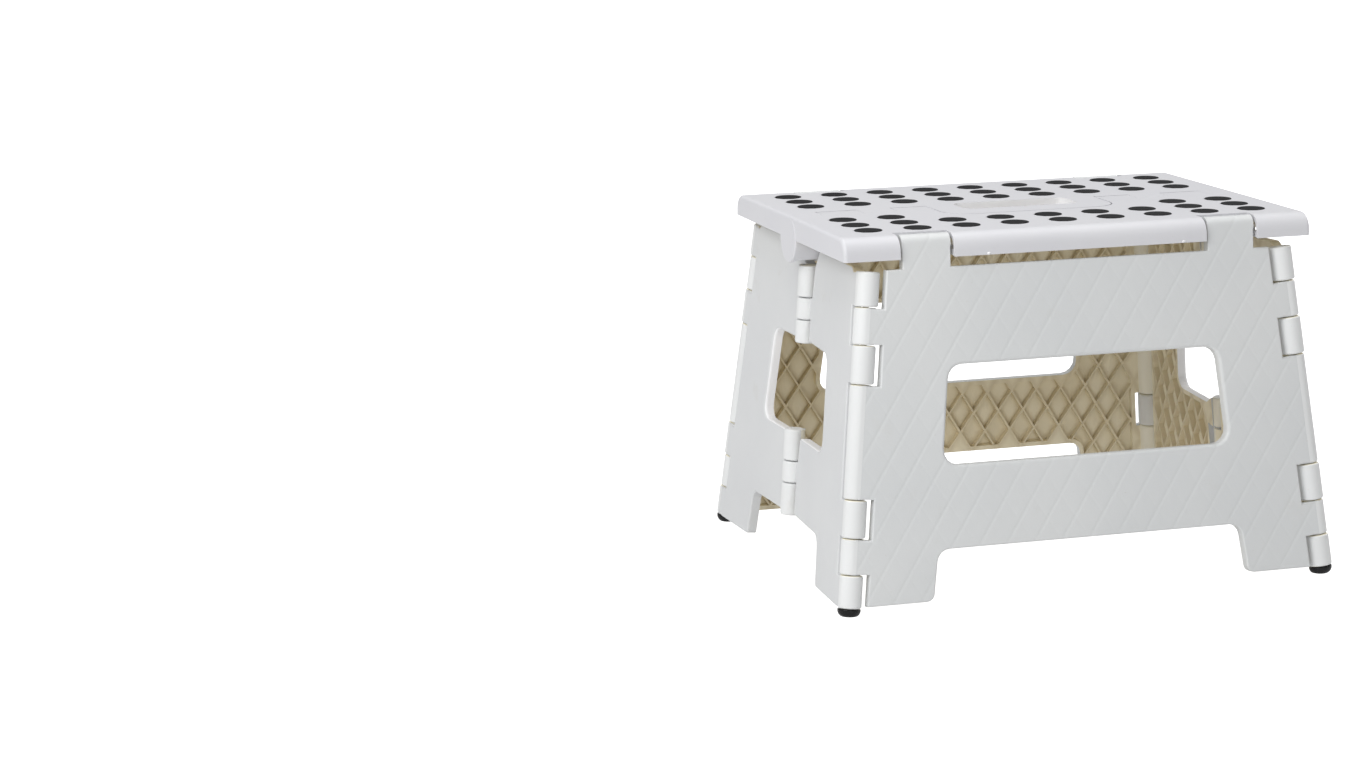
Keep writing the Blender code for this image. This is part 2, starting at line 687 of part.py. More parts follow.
def side_matrix():
    """Left rear half: X across it from the corner axis, Y to its ribbed face, Z up the axis."""
    axis = Vector((math.sin(TAPER), 0.0, math.cos(TAPER)))
    frame = Matrix(((math.cos(TAPER), 0.0, math.sin(TAPER), 0.0), (0.0, 1.0, 0.0, 0.0),
                    (-math.sin(TAPER), 0.0, math.cos(TAPER), 0.0), (0.0, 0.0, 0.0, 1.0)))
    corner = Matrix.Translation((-CORNER_HALF, CORNER_BACK, -TAB_UP))
    return leg_matrix("rear") @ corner @ Matrix.Rotation(-SIDE_FOLD, 4, axis) @ frame


def mid_across(along):
    """Middle hinge axis in the half's outer plane: where that plane meets the stool's middle."""
    place = side_matrix()
    return (place[1][1] * CORNER_SET - place[1][2] * along - place[1][3]) / place[1][0]


def mid_point(along):
    return Vector((mid_across(along), -CORNER_SET, along))


def mid_stacks():
    """Middle hinge knuckles as stacks of (low, high, owner) along the corner axis, from the top."""
    stacks = {}
    for name, high, low in (("upper", SIDE_MID_TOP, LEG_WINDOW_HIGH), ("lower", MID_LOWER_TOP, ARCH_HIGH)):
        # A level line up the leg meets the middle axis a little further along the corner axis
        high, low = (level_at_mid(up) for up in (high, low))
        first = high - MID_FIRST_KNUCKLE
        second = first - MID_CENTRE_KNUCKLE
        stacks[name] = [(first, high, "rear"), (second, first, "front"), (low, second, "rear")]
    return stacks


def level_at_mid(up):
    """Place along the corner axis where a level line up the leg meets the middle axis."""
    start = mid_across(0.0)
    slope = mid_across(1.0) - start
    return (up + start * math.sin(TAPER)) / (math.cos(TAPER) - slope * math.sin(TAPER))


def beside_mid(up, room):
    """Point of a side half on a level line up the leg, a room short of the middle axis."""
    along = level_at_mid(up)
    return corner_coordinates(corner_point(mid_across(along), along)[0] - room, up)


def side_half(kind):
    """Side half in its own frame, for the left rear or right front corner."""
    gap = KNUCKLE_GAP / 2
    inner, outer = -CLEAR, SEAT - BARREL_RADIUS
    clear_edge = BARREL_RADIUS + 2 * CLEAR
    bands = knuckle_bands()
    stacks = mid_stacks()

    # Outline from the foot up the corner, then down the middle edge
    outline = []
    foot_low = along_axis(FOOT_HEIGHT) + CLEAR
    for low, high, owner in bands:
        start, end = along_axis(low) + gap + SEAT, along_axis(high) - gap - SEAT
        if owner == "side":
            first = low <= FOOT_HEIGHT
            last = high >= SHOULDER_UP
            start = foot_low + SEAT if first else start
            outline += [(-SEAT, start)] if first else [(clear_edge, start), (-SEAT, start)]
            outline += [(-SEAT, end)] if last else [(-SEAT, end), (clear_edge, end)]
    top_end = along_axis(SHOULDER_UP) - gap
    outline.append((BARREL_RADIUS, top_end - SEAT))
    outline.append(corner_coordinates(corner_point(clear_edge, along_axis(SIDE_TOP))[0] + CELL_BORDER, SIDE_TOP))
    inset = SIDE_WINDOW_INSET
    for name in ("upper", "lower"):
        # The upper knuckles lie in a dip of the top edge, and the lower ones stand above the window's edge
        outline += [beside_mid(SIDE_TOP, SIDE_FINGER_ROOM)] if name == "upper" else []
        level = SIDE_MID_TOP if name == "upper" else LEG_WINDOW_LOW
        outline.append(beside_mid(level, MID_RADIUS + MID_NOTCH))
        for low, high, owner in stacks[name]:
            draw_in = MID_RADIUS / 4 if owner == kind else MID_RADIUS + MID_NOTCH
            shift = gap + SEAT if owner == kind else -gap - SEAT
            first_high = high - SEAT if high == stacks[name][0][1] else high - shift
            last_low = low + SEAT if low == stacks[name][-1][0] else low + shift
            if owner == kind or high != stacks[name][0][1]:
                outline.append((mid_across(first_high) - draw_in, first_high))
            outline.append((mid_across(last_low) - draw_in, last_low))
        if name == "upper":
            high, low = LEG_WINDOW_HIGH, LEG_WINDOW_LOW
            corners = [((-window_half(high, inset), high), SIDE_WINDOW_CORNER),
                       ((-window_half(low, inset), low), SIDE_WINDOW_CORNER)]
        else:
            corners = [((-arch_half(ARCH_HIGH, inset), ARCH_HIGH), ARCH_CORNER),
                       ((-arch_half(LEG_BOTTOM, inset), LEG_BOTTOM), 0.0)]
        # The fillets need the outline's neighbours, which lie level with these corners
        ends = [(0.0, corners[0][0][1]), (0.0, corners[1][0][1])]
        piece = rounded([(ends[0], 0.0)] + corners + [(ends[1], 0.0)])[1:-1]
        outline += [corner_coordinates(x, up) for x, up in piece]
    outline.append((BARREL_RADIUS, foot_low + SEAT))
    body = prism(outline, outer, inner, "Y")

    # Diamond pockets open to the inside
    skin = outer + SKIN
    border = CELL_BORDER
    edge = clear_edge + border
    top = SIDE_MID_TOP - border
    low_up = LEG_BOTTOM + border
    mid_edge = MID_RADIUS + MID_NOTCH + border
    high_mid, low_mid = level_at_mid(top), level_at_mid(low_up)
    corners = [(edge, along_axis(low_up) + border), (edge, along_axis(SIDE_TOP) - 2 * border),
               (mid_across(high_mid) - mid_edge, high_mid), (mid_across(low_mid) - mid_edge, low_mid)]
    region = prism(corners, skin, inner + OVERRUN, "Y")
    window = rounded([((-window_half(LEG_WINDOW_LOW - border, inset - border), LEG_WINDOW_LOW - border),
                       SIDE_WINDOW_CORNER + border), ((0.0, LEG_WINDOW_LOW - border), 0.0),
                      ((0.0, LEG_WINDOW_HIGH + border), 0.0),
                      ((-window_half(LEG_WINDOW_HIGH + border, inset - border), LEG_WINDOW_HIGH + border),
                       SIDE_WINDOW_CORNER + border)])
    arch = rounded([((-arch_half(-border, inset - border), -border), 0.0), ((0.0, -border), 0.0),
                    ((0.0, ARCH_HIGH + border), 0.0),
                    ((-arch_half(ARCH_HIGH + border, inset - border), ARCH_HIGH + border), ARCH_CORNER + border)])
    for shape in (window, arch):
        cut(region, prism([corner_coordinates(x, up) for x, up in shape],
                          skin - OVERRUN, inner + 2 * OVERRUN, "Y"))
    diamond_cells(region, (edge, mid_across(low_mid)), (low_up, along_axis(SIDE_TOP)), (skin, inner + OVERRUN))
    cut(body, region)

    # Corner barrels, middle barrels and their bores
    for low, high, owner in bands:
        if owner == "side":
            start = foot_low if low <= FOOT_HEIGHT else along_axis(low) + gap
            end = along_axis(high) - gap
            join(body, rod((0.0, 0.0, start), (0.0, 0.0, end), BARREL_RADIUS, ROUND_SIDES))
    cut(body, rod((0.0, 0.0, foot_low - OVERRUN), (0.0, 0.0, top_end - ROD_CAP), ROD_RADIUS + CLEAR, BORE_SIDES))
    for name, stack in stacks.items():
        for low, high, owner in stack:
            if owner != kind:
                continue
            start = low if low == stack[-1][0] else low + gap
            end = high if high == stack[0][1] else high - gap
            join(body, rod(mid_point(start), mid_point(end), MID_RADIUS, ROUND_SIDES))
        start, end = mid_rod_ends(stack)
        if kind == "rear":
            cut(body, rod(start - Vector((0.0, 0.0, OVERRUN)), end, MID_ROD_RADIUS + CLEAR, BORE_SIDES))
        else:
            way = 1.0 if name == "lower" else -1.0
            slack = Vector((math.cos(MID_SLACK_TURN), math.sin(MID_SLACK_TURN), 0.0)) * way * MID_SLACK
            cut(body, rod(start + slack, end + slack, MID_ROD_RADIUS + MID_SLACK + CLEAR, BORE_SIDES))
    return body


def mid_rod_ends(stack):
    return mid_point(stack[-1][0]), mid_point(stack[0][1] - ROD_CAP)


def foot():
    """Rubber foot on the corner axis: a low dome under the knuckle and a stem in its bore."""
    top = along_axis(FOOT_HEIGHT) - CLEAR
    profile = []
    for step in range(DOME_STEPS):
        angle = math.radians(90.0 * step / DOME_STEPS)
        profile.append((FOOT_RADIUS * math.cos(angle), top - (top + FOOT_SINK) * math.sin(angle)))
    bm = bmesh.new()
    rings = []
    for radius, z in [(ROD_RADIUS, top + FOOT_STEM), (ROD_RADIUS, top)] + profile:
        ring = []
        for side in range(ROUND_SIDES):
            angle = 2 * math.pi * side / ROUND_SIDES
            ring.append(bm.verts.new((radius * math.cos(angle), radius * math.sin(angle), z)))
        rings.append(ring)
    bm.faces.new(rings[0])
    bm.faces.new(rings[-1][::-1])
    for upper, lower in zip(rings, rings[1:]):
        for a in range(ROUND_SIDES):
            b = (a + 1) % ROUND_SIDES
            bm.faces.new((upper[a], lower[a], lower[b], upper[b]))
    return new_object("foot", bm)


def flip(item):
    """Mirror a piece across its own panel plane, for the opposite hand."""
    item.data.transform(Matrix.Diagonal((1.0, -1.0, 1.0, 1.0)))
    item.data.flip_normals()
    return item


def corner_places():
    """Each corner with its matrix, whether its pieces are mirrored, and its half."""
    base = side_matrix()
    local = Matrix.Diagonal((1.0, -1.0, 1.0, 1.0))
    across_x = Matrix.Diagonal((-1.0, 1.0, 1.0, 1.0))
    across_y = Matrix.Diagonal((1.0, -1.0, 1.0, 1.0))
    return {
        ("left", "rear"): (base, False),
        ("right", "rear"): (across_x @ base @ local, True),
        ("left", "front"): (across_y @ base @ local, True),
        ("right", "front"): (across_x @ across_y @ base, False),
    }


def floor_cut(item):
    """Flatten a placed piece where it meets the floor."""
    bm = bmesh.new()
    bm.from_mesh(item.data)
    bm.transform(item.matrix_world)
    geometry = bm.verts[:] + bm.edges[:] + bm.faces[:]
    bmesh.ops.bisect_plane(bm, geom=geometry, plane_co=(0.0, 0.0, 0.0), plane_no=(0.0, 0.0, -1.0),
                           clear_outer=True)
    rim = [edge for edge in bm.edges if edge.is_boundary]
    bmesh.ops.contextual_create(bm, geom=rim)
    bm.transform(item.matrix_world.inverted())
    bmesh.ops.recalc_face_normals(bm, faces=bm.faces)
    bm.to_mesh(item.data)
    bm.free()
    return item


def build():
    for old in list(bpy.data.objects):
        bpy.data.objects.remove(old)
    tread_white = material("tread_white", WHITE, 0.42)
    panel_white = material("panel_white", WARM_WHITE, 0.48)
    rubber = material("grip_rubber", BLACK, 0.75)
    foot_rubber = material("foot_rubber", BLACK, 0.45)
    steel = material("hinge_steel", STEEL, 0.35, 1.0)

    # Top halves, their grip strips and tab pins
    turned = Matrix.Rotation(math.pi, 4, "Z")
    origins = {"rear": (0.0, TAB_Y, TAB_Z), "front": (0.0, 0.0, FOLD_Z)}
    for half in ("rear", "front"):
        way = 1.0 if half == "rear" else -1.0
        body = top_half(half)
        if half == "front":
            body.data.transform(turned)
        set_origin(finish(body, half + "_top_panel", tread_white), origins[half])
        for name, distance, places in dot_rows(half):
            strip = grip_strip(distance, places, 0.0, TREAD + DOT_PROUD)
            if half == "front":
                strip.data.transform(Matrix.Diagonal((1.0, -1.0, 1.0, 1.0)))
                strip.data.flip_normals()
            set_origin(finish(strip, half + "_grip_" + name, rubber), origins[half])
        for side, sign in (("left", -1.0), ("right", 1.0)):
            middle = sign * TAB_PLACE
            reach = TAB_WIDTH / 2 + TAB_SIDE_GAP + TAB_WALL
            pin = rod((middle - reach, way * TAB_Y, TAB_Z), (middle + reach, way * TAB_Y, TAB_Z),
                      TAB_PIN_RADIUS, BORE_SIDES)
            set_origin(finish(pin, half + "_tab_pin_" + side, steel), (middle, way * TAB_Y, TAB_Z))

    # Legs
    for half in ("rear", "front"):
        finish(leg_panel(), half + "_leg_panel", panel_white, leg_matrix(half))

    # Side halves with their rods and feet
    stacks = mid_stacks()
    for (side, half), (place, mirror) in corner_places().items():
        tag = side + "_" + half
        body = side_half(half)
        rod_low = along_axis(FOOT_HEIGHT) + FOOT_STEM
        rod_high = along_axis(SHOULDER_UP) - KNUCKLE_GAP / 2 - ROD_CAP - CLEAR
        pieces = [(body, tag + "_side_panel", panel_white),
                  (rod((0.0, 0.0, rod_low), (0.0, 0.0, rod_high), ROD_RADIUS, BORE_SIDES), tag + "_corner_rod", steel),
                  (foot(), tag + "_foot", foot_rubber)]
        if half == "rear":
            for name, stack in stacks.items():
                low, high = mid_rod_ends(stack)
                tip = (high - low).normalized() * CLEAR
                pieces.append((rod(low + tip, high - tip, MID_ROD_RADIUS, BORE_SIDES),
                               side + "_" + name + "_mid_rod", steel))
        for item, name, shade in pieces:
            if mirror:
                flip(item)
            finish(item, name, shade, place)
            if name.endswith("_foot"):
                bpy.context.view_layer.update()
                floor_cut(item)


build()
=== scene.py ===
import json
import math

import bmesh
import bpy
from mathutils import Matrix, Vector

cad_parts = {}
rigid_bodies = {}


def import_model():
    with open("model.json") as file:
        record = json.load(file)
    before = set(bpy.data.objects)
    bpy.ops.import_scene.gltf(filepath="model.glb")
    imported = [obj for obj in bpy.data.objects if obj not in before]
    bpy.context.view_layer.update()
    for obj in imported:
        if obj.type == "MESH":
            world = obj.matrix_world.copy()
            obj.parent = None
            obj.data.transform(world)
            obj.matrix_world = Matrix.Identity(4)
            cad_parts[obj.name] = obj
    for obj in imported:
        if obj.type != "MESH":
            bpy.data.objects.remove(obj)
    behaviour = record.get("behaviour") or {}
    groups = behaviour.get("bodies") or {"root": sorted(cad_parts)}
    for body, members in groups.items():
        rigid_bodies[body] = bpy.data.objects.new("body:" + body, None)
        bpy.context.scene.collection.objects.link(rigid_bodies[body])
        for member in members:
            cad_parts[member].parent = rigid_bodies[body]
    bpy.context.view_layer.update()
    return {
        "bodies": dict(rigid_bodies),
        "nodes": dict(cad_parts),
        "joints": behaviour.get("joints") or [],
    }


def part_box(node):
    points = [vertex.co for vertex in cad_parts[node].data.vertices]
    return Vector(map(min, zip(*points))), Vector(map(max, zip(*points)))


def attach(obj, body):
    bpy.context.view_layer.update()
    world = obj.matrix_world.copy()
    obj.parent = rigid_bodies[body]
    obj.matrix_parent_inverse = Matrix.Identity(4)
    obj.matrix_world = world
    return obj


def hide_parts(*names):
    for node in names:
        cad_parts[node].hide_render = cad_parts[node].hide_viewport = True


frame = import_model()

# Sizes that the solids already have, in metres
SKIN = 0.0025                   # panel wall behind the diamond pockets
PANEL = 0.0063                  # panel with its ribs
PANEL_REACH = 0.0066            # the ribs end within this depth, and the barrels go deeper
LEG_WINDOW = (0.105, 0.070, 0.160)      # half width and heights that hold a leg's window
SIDE_WINDOW = (0.085, 0.078, 0.150)     # half width and heights that hold a side's window
LEG_ARCH = 0.115                # the arches' lower corners lie within this of the middle
SIDE_ARCH = 0.095
ARCH_FOOT = 0.008               # and below this height
CELL_WIDTH = 0.0358             # diamonds between the solid ribs
CELL_SLOPE = 0.0552 / CELL_WIDTH
CELL_PITCH = CELL_WIDTH * CELL_SLOPE / math.hypot(CELL_SLOPE, 1.0)
BARREL_RADIUS = 0.00685
MID_RADIUS = 0.0054
FOOT_RADIUS = 0.007
FOOT_HEIGHT = 0.00445           # foot top, up the leg
FOOT_SINK = 0.0007              # taken off the foot's dome by the floor
SHOULDER_UP = 0.203241          # top of the corner hinge, up the leg
KNUCKLE_GAP = 0.0008            # between two knuckles
CLEAR = 0.0003                  # round a pin and past its ends
ROD_CAP = 0.0025                # closed end over a rod
LOWER_KNUCKLES = (0.01985, 0.0216, 0.0228)
UPPER_KNUCKLES = (0.0212, 0.0223, 0.0232)
MID_KNUCKLES = (0.0200, 0.0140)
TREAD_TOP = 0.222
SKIRT_DEPTH = 0.0137
SKIRT_INSIDE = 0.0024           # the skirt's inner face, from the edge of the tread
PLATE_UNDER = 0.0020            # what faces down lies further below the tread's top than this
LONG_ROUND = 0.0101             # rounding of the tread's long edges
FOLD_Z = 0.208                  # height of the centre hinge
SLOT_REACH = 0.0125             # the hollows under the fingers lie this near the hinge
DOT_RADIUS = 0.0084
DOT_PITCH = 0.0312
DOT_HEIGHT = 0.0044
RUNNER_WIDTH = 0.005
RUNNER_THICKNESS = 0.0012

# Sizes of what is added here
FINE_RIB = 0.0012               # ribs between the solid ribs
FINE_RIB_DROP = 0.0003          # below the inner rim
SCRAP = 0.000036                # pockets with less floor than this are closed
PILLOW_STEPS = ((0.0016, 0.0009), (0.0020, 0.0007), (0.0015, 0.0003))   # inset and rise of a pocket's floor
PILLOW_ROOM = 3.8               # least edge of a floor, in insets
RIM_ROUND = 0.0022              # rounding of the window rims
TREAD_ROUND = 0.0024            # rounding of the tread's ends
EDGE_ROUND = 0.0011             # broken edges of the outer faces
LEG_CORNER = 0.0042             # bottom corners of the legs, beside the arch
SIDE_CORNER = 0.0022
HAND_REACH = (0.040, 0.018)     # half length and half width round the hand opening
HINGE_REACH = 0.0168            # centre hinge fingers, either side of the middle
DISC_ROUND = 0.0009             # rims of the centre hinge's end discs
DOT_ROUND = 0.0003
FOOT_ROUND = 0.0042             # lower edge of the feet
FOOT_EDGE = 0.0003              # upper edge of the feet
NUB_RADIUS = 0.0009             # moulding nubs on the front skirt
NUB_STRETCH = 1.5
NUB_PLACES = (-0.0595, 0.0660)
CREST_PROUD = 0.00003           # knuckle crests over the panel's outer face
SIDE_SLEEVE = 0.0005            # the side halves' corner knuckles show a little thicker
KNUCKLE_PAST = BARREL_RADIUS / 8.0      # a knuckle's round ends this far past its crest
SLEEVE_LAP = 0.0001             # knuckles run this far into the gaps at their ends
KNUCKLE_END = 0.0012            # rounding of the knuckles' ends
BARREL_SLIM = 0.0006            # the panels' own barrels draw in under the knuckles
FLUSH_REACH = 0.0005
MID_REACH = 0.05                # the middle knuckles lie within this
MID_TOP_LOW = 0.188             # the upper middle knuckles end above this
MID_EDGE = 0.0085               # panel edges nearer the middle than this stay sharp
MID_PROUD = 0.0010              # the middle knuckles show a little thicker
ROUND_SIDES = 48
SMOOTH = math.radians(36.0)     # edges below this angle are shaded smooth
STEEP = math.radians(60.0)      # edges above this angle can be rounded
FLAT = math.radians(0.4)        # faces nearer to one plane than this are one
NEAR = 0.00002                  # points this near to each other or to a plane lie on it
ON_FACE = 0.00003               # points this near to a panel's outer face lie on it
LEVEL_NEAR = 0.0001             # slack for points on the pocket floors and the dots' upper rims
FLOOR_NEAR = 0.000001           # the feet are cut off at the floor to within this
ACROSS = 0.5                    # faces with less of a direction than this run along it
SQUARE = 0.98                   # edges with more of a direction than this follow it
ALIGNED = 0.9995                # faces with more of a direction than this look straight along it
LEVEL = 0.8                     # faces with more upward or downward turn than this are level
INWARD = 0.35                   # faces with more inward turn than this look into the stool
FACE_WEIGHT = 80                # large faces lead the shading of small ones beside them
INSIDE_TOP = 0.199              # the leg tabs above this stay white all round
SIDE_EDGE_LOW = 0.196           # the sides' top edges lie above this

# Finishes
LEG_SINK = 2.2                  # sink lines over the ribs, outside
SIDE_SINK = 0.6
OUTSIDE_PILLOW = 0.8            # swell between the ribs
INSIDE_PILLOW = 4.0
INSIDE_SHADE = 0.33             # painted shade along the ribs, inside
PLASTIC_GRAIN = 0.00005
INSIDE_GRAIN = 0.00006
PLASTIC_IOR = 1.49

# Studio, with each lamp's place, size and power
FLOOR_SIZE = 40.0
FLOOR_TONE = 0.42
FLOOR_GLOW = 0.39
FLOOR_SEEN = 0.74               # further glow of the floor as the camera sees it
AIR_GLOW = 0.27
LAMPS = (("key", (-1.25, -0.80, 0.98), 1.0, 15.0), ("top", (0.0, 0.2, 2.6), 2.4, 42.0),
         ("front", (-0.5, -2.4, 0.55), 1.2, 4.0), ("back", (2.3, 0.9, 1.2), 1.8, 18.0))
LAMP_AIM = Vector((0.0, 0.0, 0.11))

# Camera at the photograph's viewing angle
VIEW_TURN = math.radians(-15.66)
VIEW_LIFT = math.radians(11.277)
VIEW_ROLL = -0.0157
VIEW_DISTANCE = 1.8976
VIEW_AIM = Vector((-0.2185, 0.0, 0.1207))
VIEW_LENS = 80.98

CORNERS = ("left_rear", "right_rear", "left_front", "right_front")
joints = {joint["name"]: joint for joint in frame["joints"]}


# Editing

def edit(piece, mode="EDGE"):
    """Edit one piece alone."""
    bpy.ops.object.select_all(action="DESELECT")
    piece.select_set(True)
    bpy.context.view_layer.objects.active = piece
    bpy.ops.object.mode_set(mode="EDIT")
    bpy.ops.mesh.select_mode(type=mode)


def done():
    bpy.ops.object.mode_set(mode="OBJECT")


def pick_faces(piece, test):
    """Select the faces that pass a test, and say how many there are."""
    bm = bmesh.from_edit_mesh(piece.data)
    for face in bm.faces:
        face.select_set(False)
    chosen = [face for face in bm.faces if test(face)]
    for face in chosen:
        face.select_set(True)
    bmesh.update_edit_mesh(piece.data)
    return len(chosen)


def pick_edges(piece, test):
    """Select the edges that pass a test, and say how many there are."""
    bm = bmesh.from_edit_mesh(piece.data)
    for edge in bm.edges:
        edge.select_set(False)
    chosen = [edge for edge in bm.edges if test(edge)]
    for edge in chosen:
        edge.select_set(True)
    bmesh.update_edit_mesh(piece.data)
    return len(chosen)


def sharp(edge, angle=SMOOTH):
    return len(edge.link_faces) == 2 and edge.calc_face_angle(0.0) > angle


def round_edges(piece, width, steps, test):
    edit(piece)
    if pick_edges(piece, test):
        bpy.ops.mesh.bevel(offset=width, segments=steps, affect="EDGES", clamp_overlap=False,
                           loop_slide=False)
    done()


def smooth(piece):
    bpy.ops.object.select_all(action="DESELECT")
    piece.select_set(True)
    bpy.context.view_layer.objects.active = piece
    bpy.ops.object.shade_smooth_by_angle(angle=SMOOTH)
    bpy.ops.object.modifier_add(type="WEIGHTED_NORMAL")
    even = piece.modifiers[-1]
    even.keep_sharp = True
    even.weight = FACE_WEIGHT
    bpy.ops.object.modifier_apply(modifier=even.name)


def settle(piece):
    """Put a piece's place into its mesh."""
    bpy.ops.object.select_all(action="DESELECT")
    piece.select_set(True)
    bpy.context.view_layer.objects.active = piece
    bpy.ops.object.transform_apply(location=True, rotation=True, scale=True)


def copied(piece, name, matrix):
    made = bpy.data.objects.new(name, piece.data.copy())
    bpy.context.collection.objects.link(made)
    made.data.transform(matrix)
    return made


def joined(parts, name):
    bpy.ops.object.select_all(action="DESELECT")
    for part in parts:
        part.select_set(True)
    bpy.context.view_layer.objects.active = parts[0]
    if len(parts) > 1:
        bpy.ops.object.join()
    parts[0].name = name
    parts[0].data.name = name
    return parts[0]


def finish_piece(piece, finish, body, slot, *nodes):
    piece.data.materials.clear()
    piece.data.materials.append(finish)
    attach(piece, body)
    if nodes:
        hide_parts(*nodes)


# Materials

def links(tree):
    return lambda source, output, target, entry: tree.links.new(source.outputs[output], target.inputs[entry])


def node(tree, kind, **settings):
    made = tree.nodes.new(kind)
    for name, value in settings.items():
        setattr(made, name, value)
    return made


def math_node(tree, operation, first, second=None):
    """Math node fed by sockets or plain numbers."""
    made = tree.nodes.new("ShaderNodeMath")
    made.operation = operation
    for index, value in enumerate((first, second)):
        if value is None:
            continue
        if isinstance(value, (int, float)):
            made.inputs[index].default_value = value
        else:
            tree.links.new(value, made.inputs[index])
    return made.outputs[0]


def new_group(name, entries, exits):
    tree = bpy.data.node_groups.new(name, "ShaderNodeTree")
    for label, kind, value in entries:
        socket = tree.interface.new_socket(label, in_out="INPUT", socket_type=kind)
        socket.default_value = value
    for label, kind in exits:
        tree.interface.new_socket(label, in_out="OUTPUT", socket_type=kind)
    return tree, tree.nodes.new("NodeGroupInput"), tree.nodes.new("NodeGroupOutput")


def mix_colour(tree, factor, first, second):
    made = node(tree, "ShaderNodeMix", data_type="RGBA")
    for value, entry in ((factor, 0), (first, 6), (second, 7)):
        if isinstance(value, (float, tuple)):
            made.inputs[entry].default_value = value
        else:
            tree.links.new(value, made.inputs[entry])
    return made.outputs[2]


def noise(tree, place, scale, detail=2.0, rough=0.5):
    made = tree.nodes.new("ShaderNodeTexNoise")
    tree.links.new(place, made.inputs["Vector"])
    if isinstance(scale, float):
        made.inputs["Scale"].default_value = scale
    else:
        tree.links.new(scale, made.inputs["Scale"])
    made.inputs["Detail"].default_value = detail
    made.inputs["Roughness"].default_value = rough
    return made.outputs["Fac"]


def ramp(tree, value, low, high):
    made = node(tree, "ShaderNodeMapRange", interpolation_type="SMOOTHSTEP")
    tree.links.new(value, made.inputs["Value"])
    made.inputs["From Min"].default_value = low
    made.inputs["From Max"].default_value = high
    return made.outputs["Result"]


def moulded_skin():
    """Colour drift, handling smudges and fine grain of moulded plastic."""
    tree, entry, out = new_group(
        "moulded skin",
        [("Colour", "NodeSocketColor", (0.8, 0.8, 0.8, 1.0)),
         ("Drift Colour", "NodeSocketColor", (0.7, 0.7, 0.7, 1.0)),
         ("Smudge Colour", "NodeSocketColor", (0.6, 0.58, 0.52, 1.0)), ("Gloss", "NodeSocketFloat", 0.45)],
        [("Colour", "NodeSocketColor"), ("Roughness", "NodeSocketFloat"), ("Height", "NodeSocketFloat")])
    place = tree.nodes.new("ShaderNodeTexCoord").outputs["Object"]
    drift = ramp(tree, noise(tree, place, 11.0, 3.0), 0.35, 0.70)
    smudge = ramp(tree, noise(tree, place, 37.0, 5.0, 0.62), 0.60, 0.80)
    speck = ramp(tree, noise(tree, place, 620.0, 1.0), 0.755, 0.80)
    colour = mix_colour(tree, drift, entry.outputs["Colour"], entry.outputs["Drift Colour"])
    for mark, share in ((smudge, 0.22), (speck, 0.35)):
        mark = math_node(tree, "MULTIPLY", mark, share)
        colour = mix_colour(tree, mark, colour, entry.outputs["Smudge Colour"])
    tree.links.new(colour, out.inputs["Colour"])
    gloss = math_node(tree, "ADD", entry.outputs["Gloss"], math_node(tree, "MULTIPLY", smudge, 0.12))
    gloss = math_node(tree, "ADD", gloss, math_node(tree, "MULTIPLY", drift, 0.05))
    tree.links.new(gloss, out.inputs["Roughness"])
    grain = noise(tree, place, 2600.0, 2.0)
    wave = noise(tree, place, 48.0, 2.0)
    grain = math_node(tree, "MULTIPLY", grain, 0.25)
    wave = math_node(tree, "MULTIPLY", wave, 1.4)
    tree.links.new(math_node(tree, "ADD", grain, wave), out.inputs["Height"])
    return tree


def diamond_lines():
    """Diamond ribs of a panel: sink lines, mostly on the rising ribs, and the distance to the nearest rib."""
    tree, entry, out = new_group(
        "diamond lines",
        [("Rising", "NodeSocketVector", (1.0, 0.0, 0.0)), ("Falling", "NodeSocketVector", (0.0, 0.0, 1.0)),
         ("Rising Start", "NodeSocketFloat", 0.0), ("Falling Start", "NodeSocketFloat", 0.0)],
        [("Lines", "NodeSocketFloat"), ("Pillow", "NodeSocketFloat")])
    place = tree.nodes.new("ShaderNodeTexCoord").outputs["Object"]
    waves = []
    for slant in ("Rising", "Falling"):
        along = node(tree, "ShaderNodeVectorMath", operation="DOT_PRODUCT")
        tree.links.new(place, along.inputs[0])
        tree.links.new(entry.outputs[slant], along.inputs[1])
        turn = math_node(tree, "SUBTRACT", along.outputs["Value"], entry.outputs[slant + " Start"])
        wave = math_node(tree, "SINE", math_node(tree, "MULTIPLY", turn, math.pi))
        waves.append(math_node(tree, "ABSOLUTE", wave))
    nearest = math_node(tree, "MINIMUM", waves[0], waves[1])
    patches = math_node(tree, "ADD", math_node(tree, "MULTIPLY", noise(tree, place, 16.0, 2.0), 0.7), 0.55)
    falling = math_node(tree, "MULTIPLY", ramp(tree, waves[1], 0.36, 0.0), 0.2)
    both = math_node(tree, "ADD", ramp(tree, waves[0], 0.36, 0.0), falling)
    tree.links.new(math_node(tree, "MULTIPLY", both, patches), out.inputs["Lines"])
    tree.links.new(nearest, out.inputs["Pillow"])
    return tree


SKIN_GROUP = moulded_skin()
LINES_GROUP = diamond_lines()


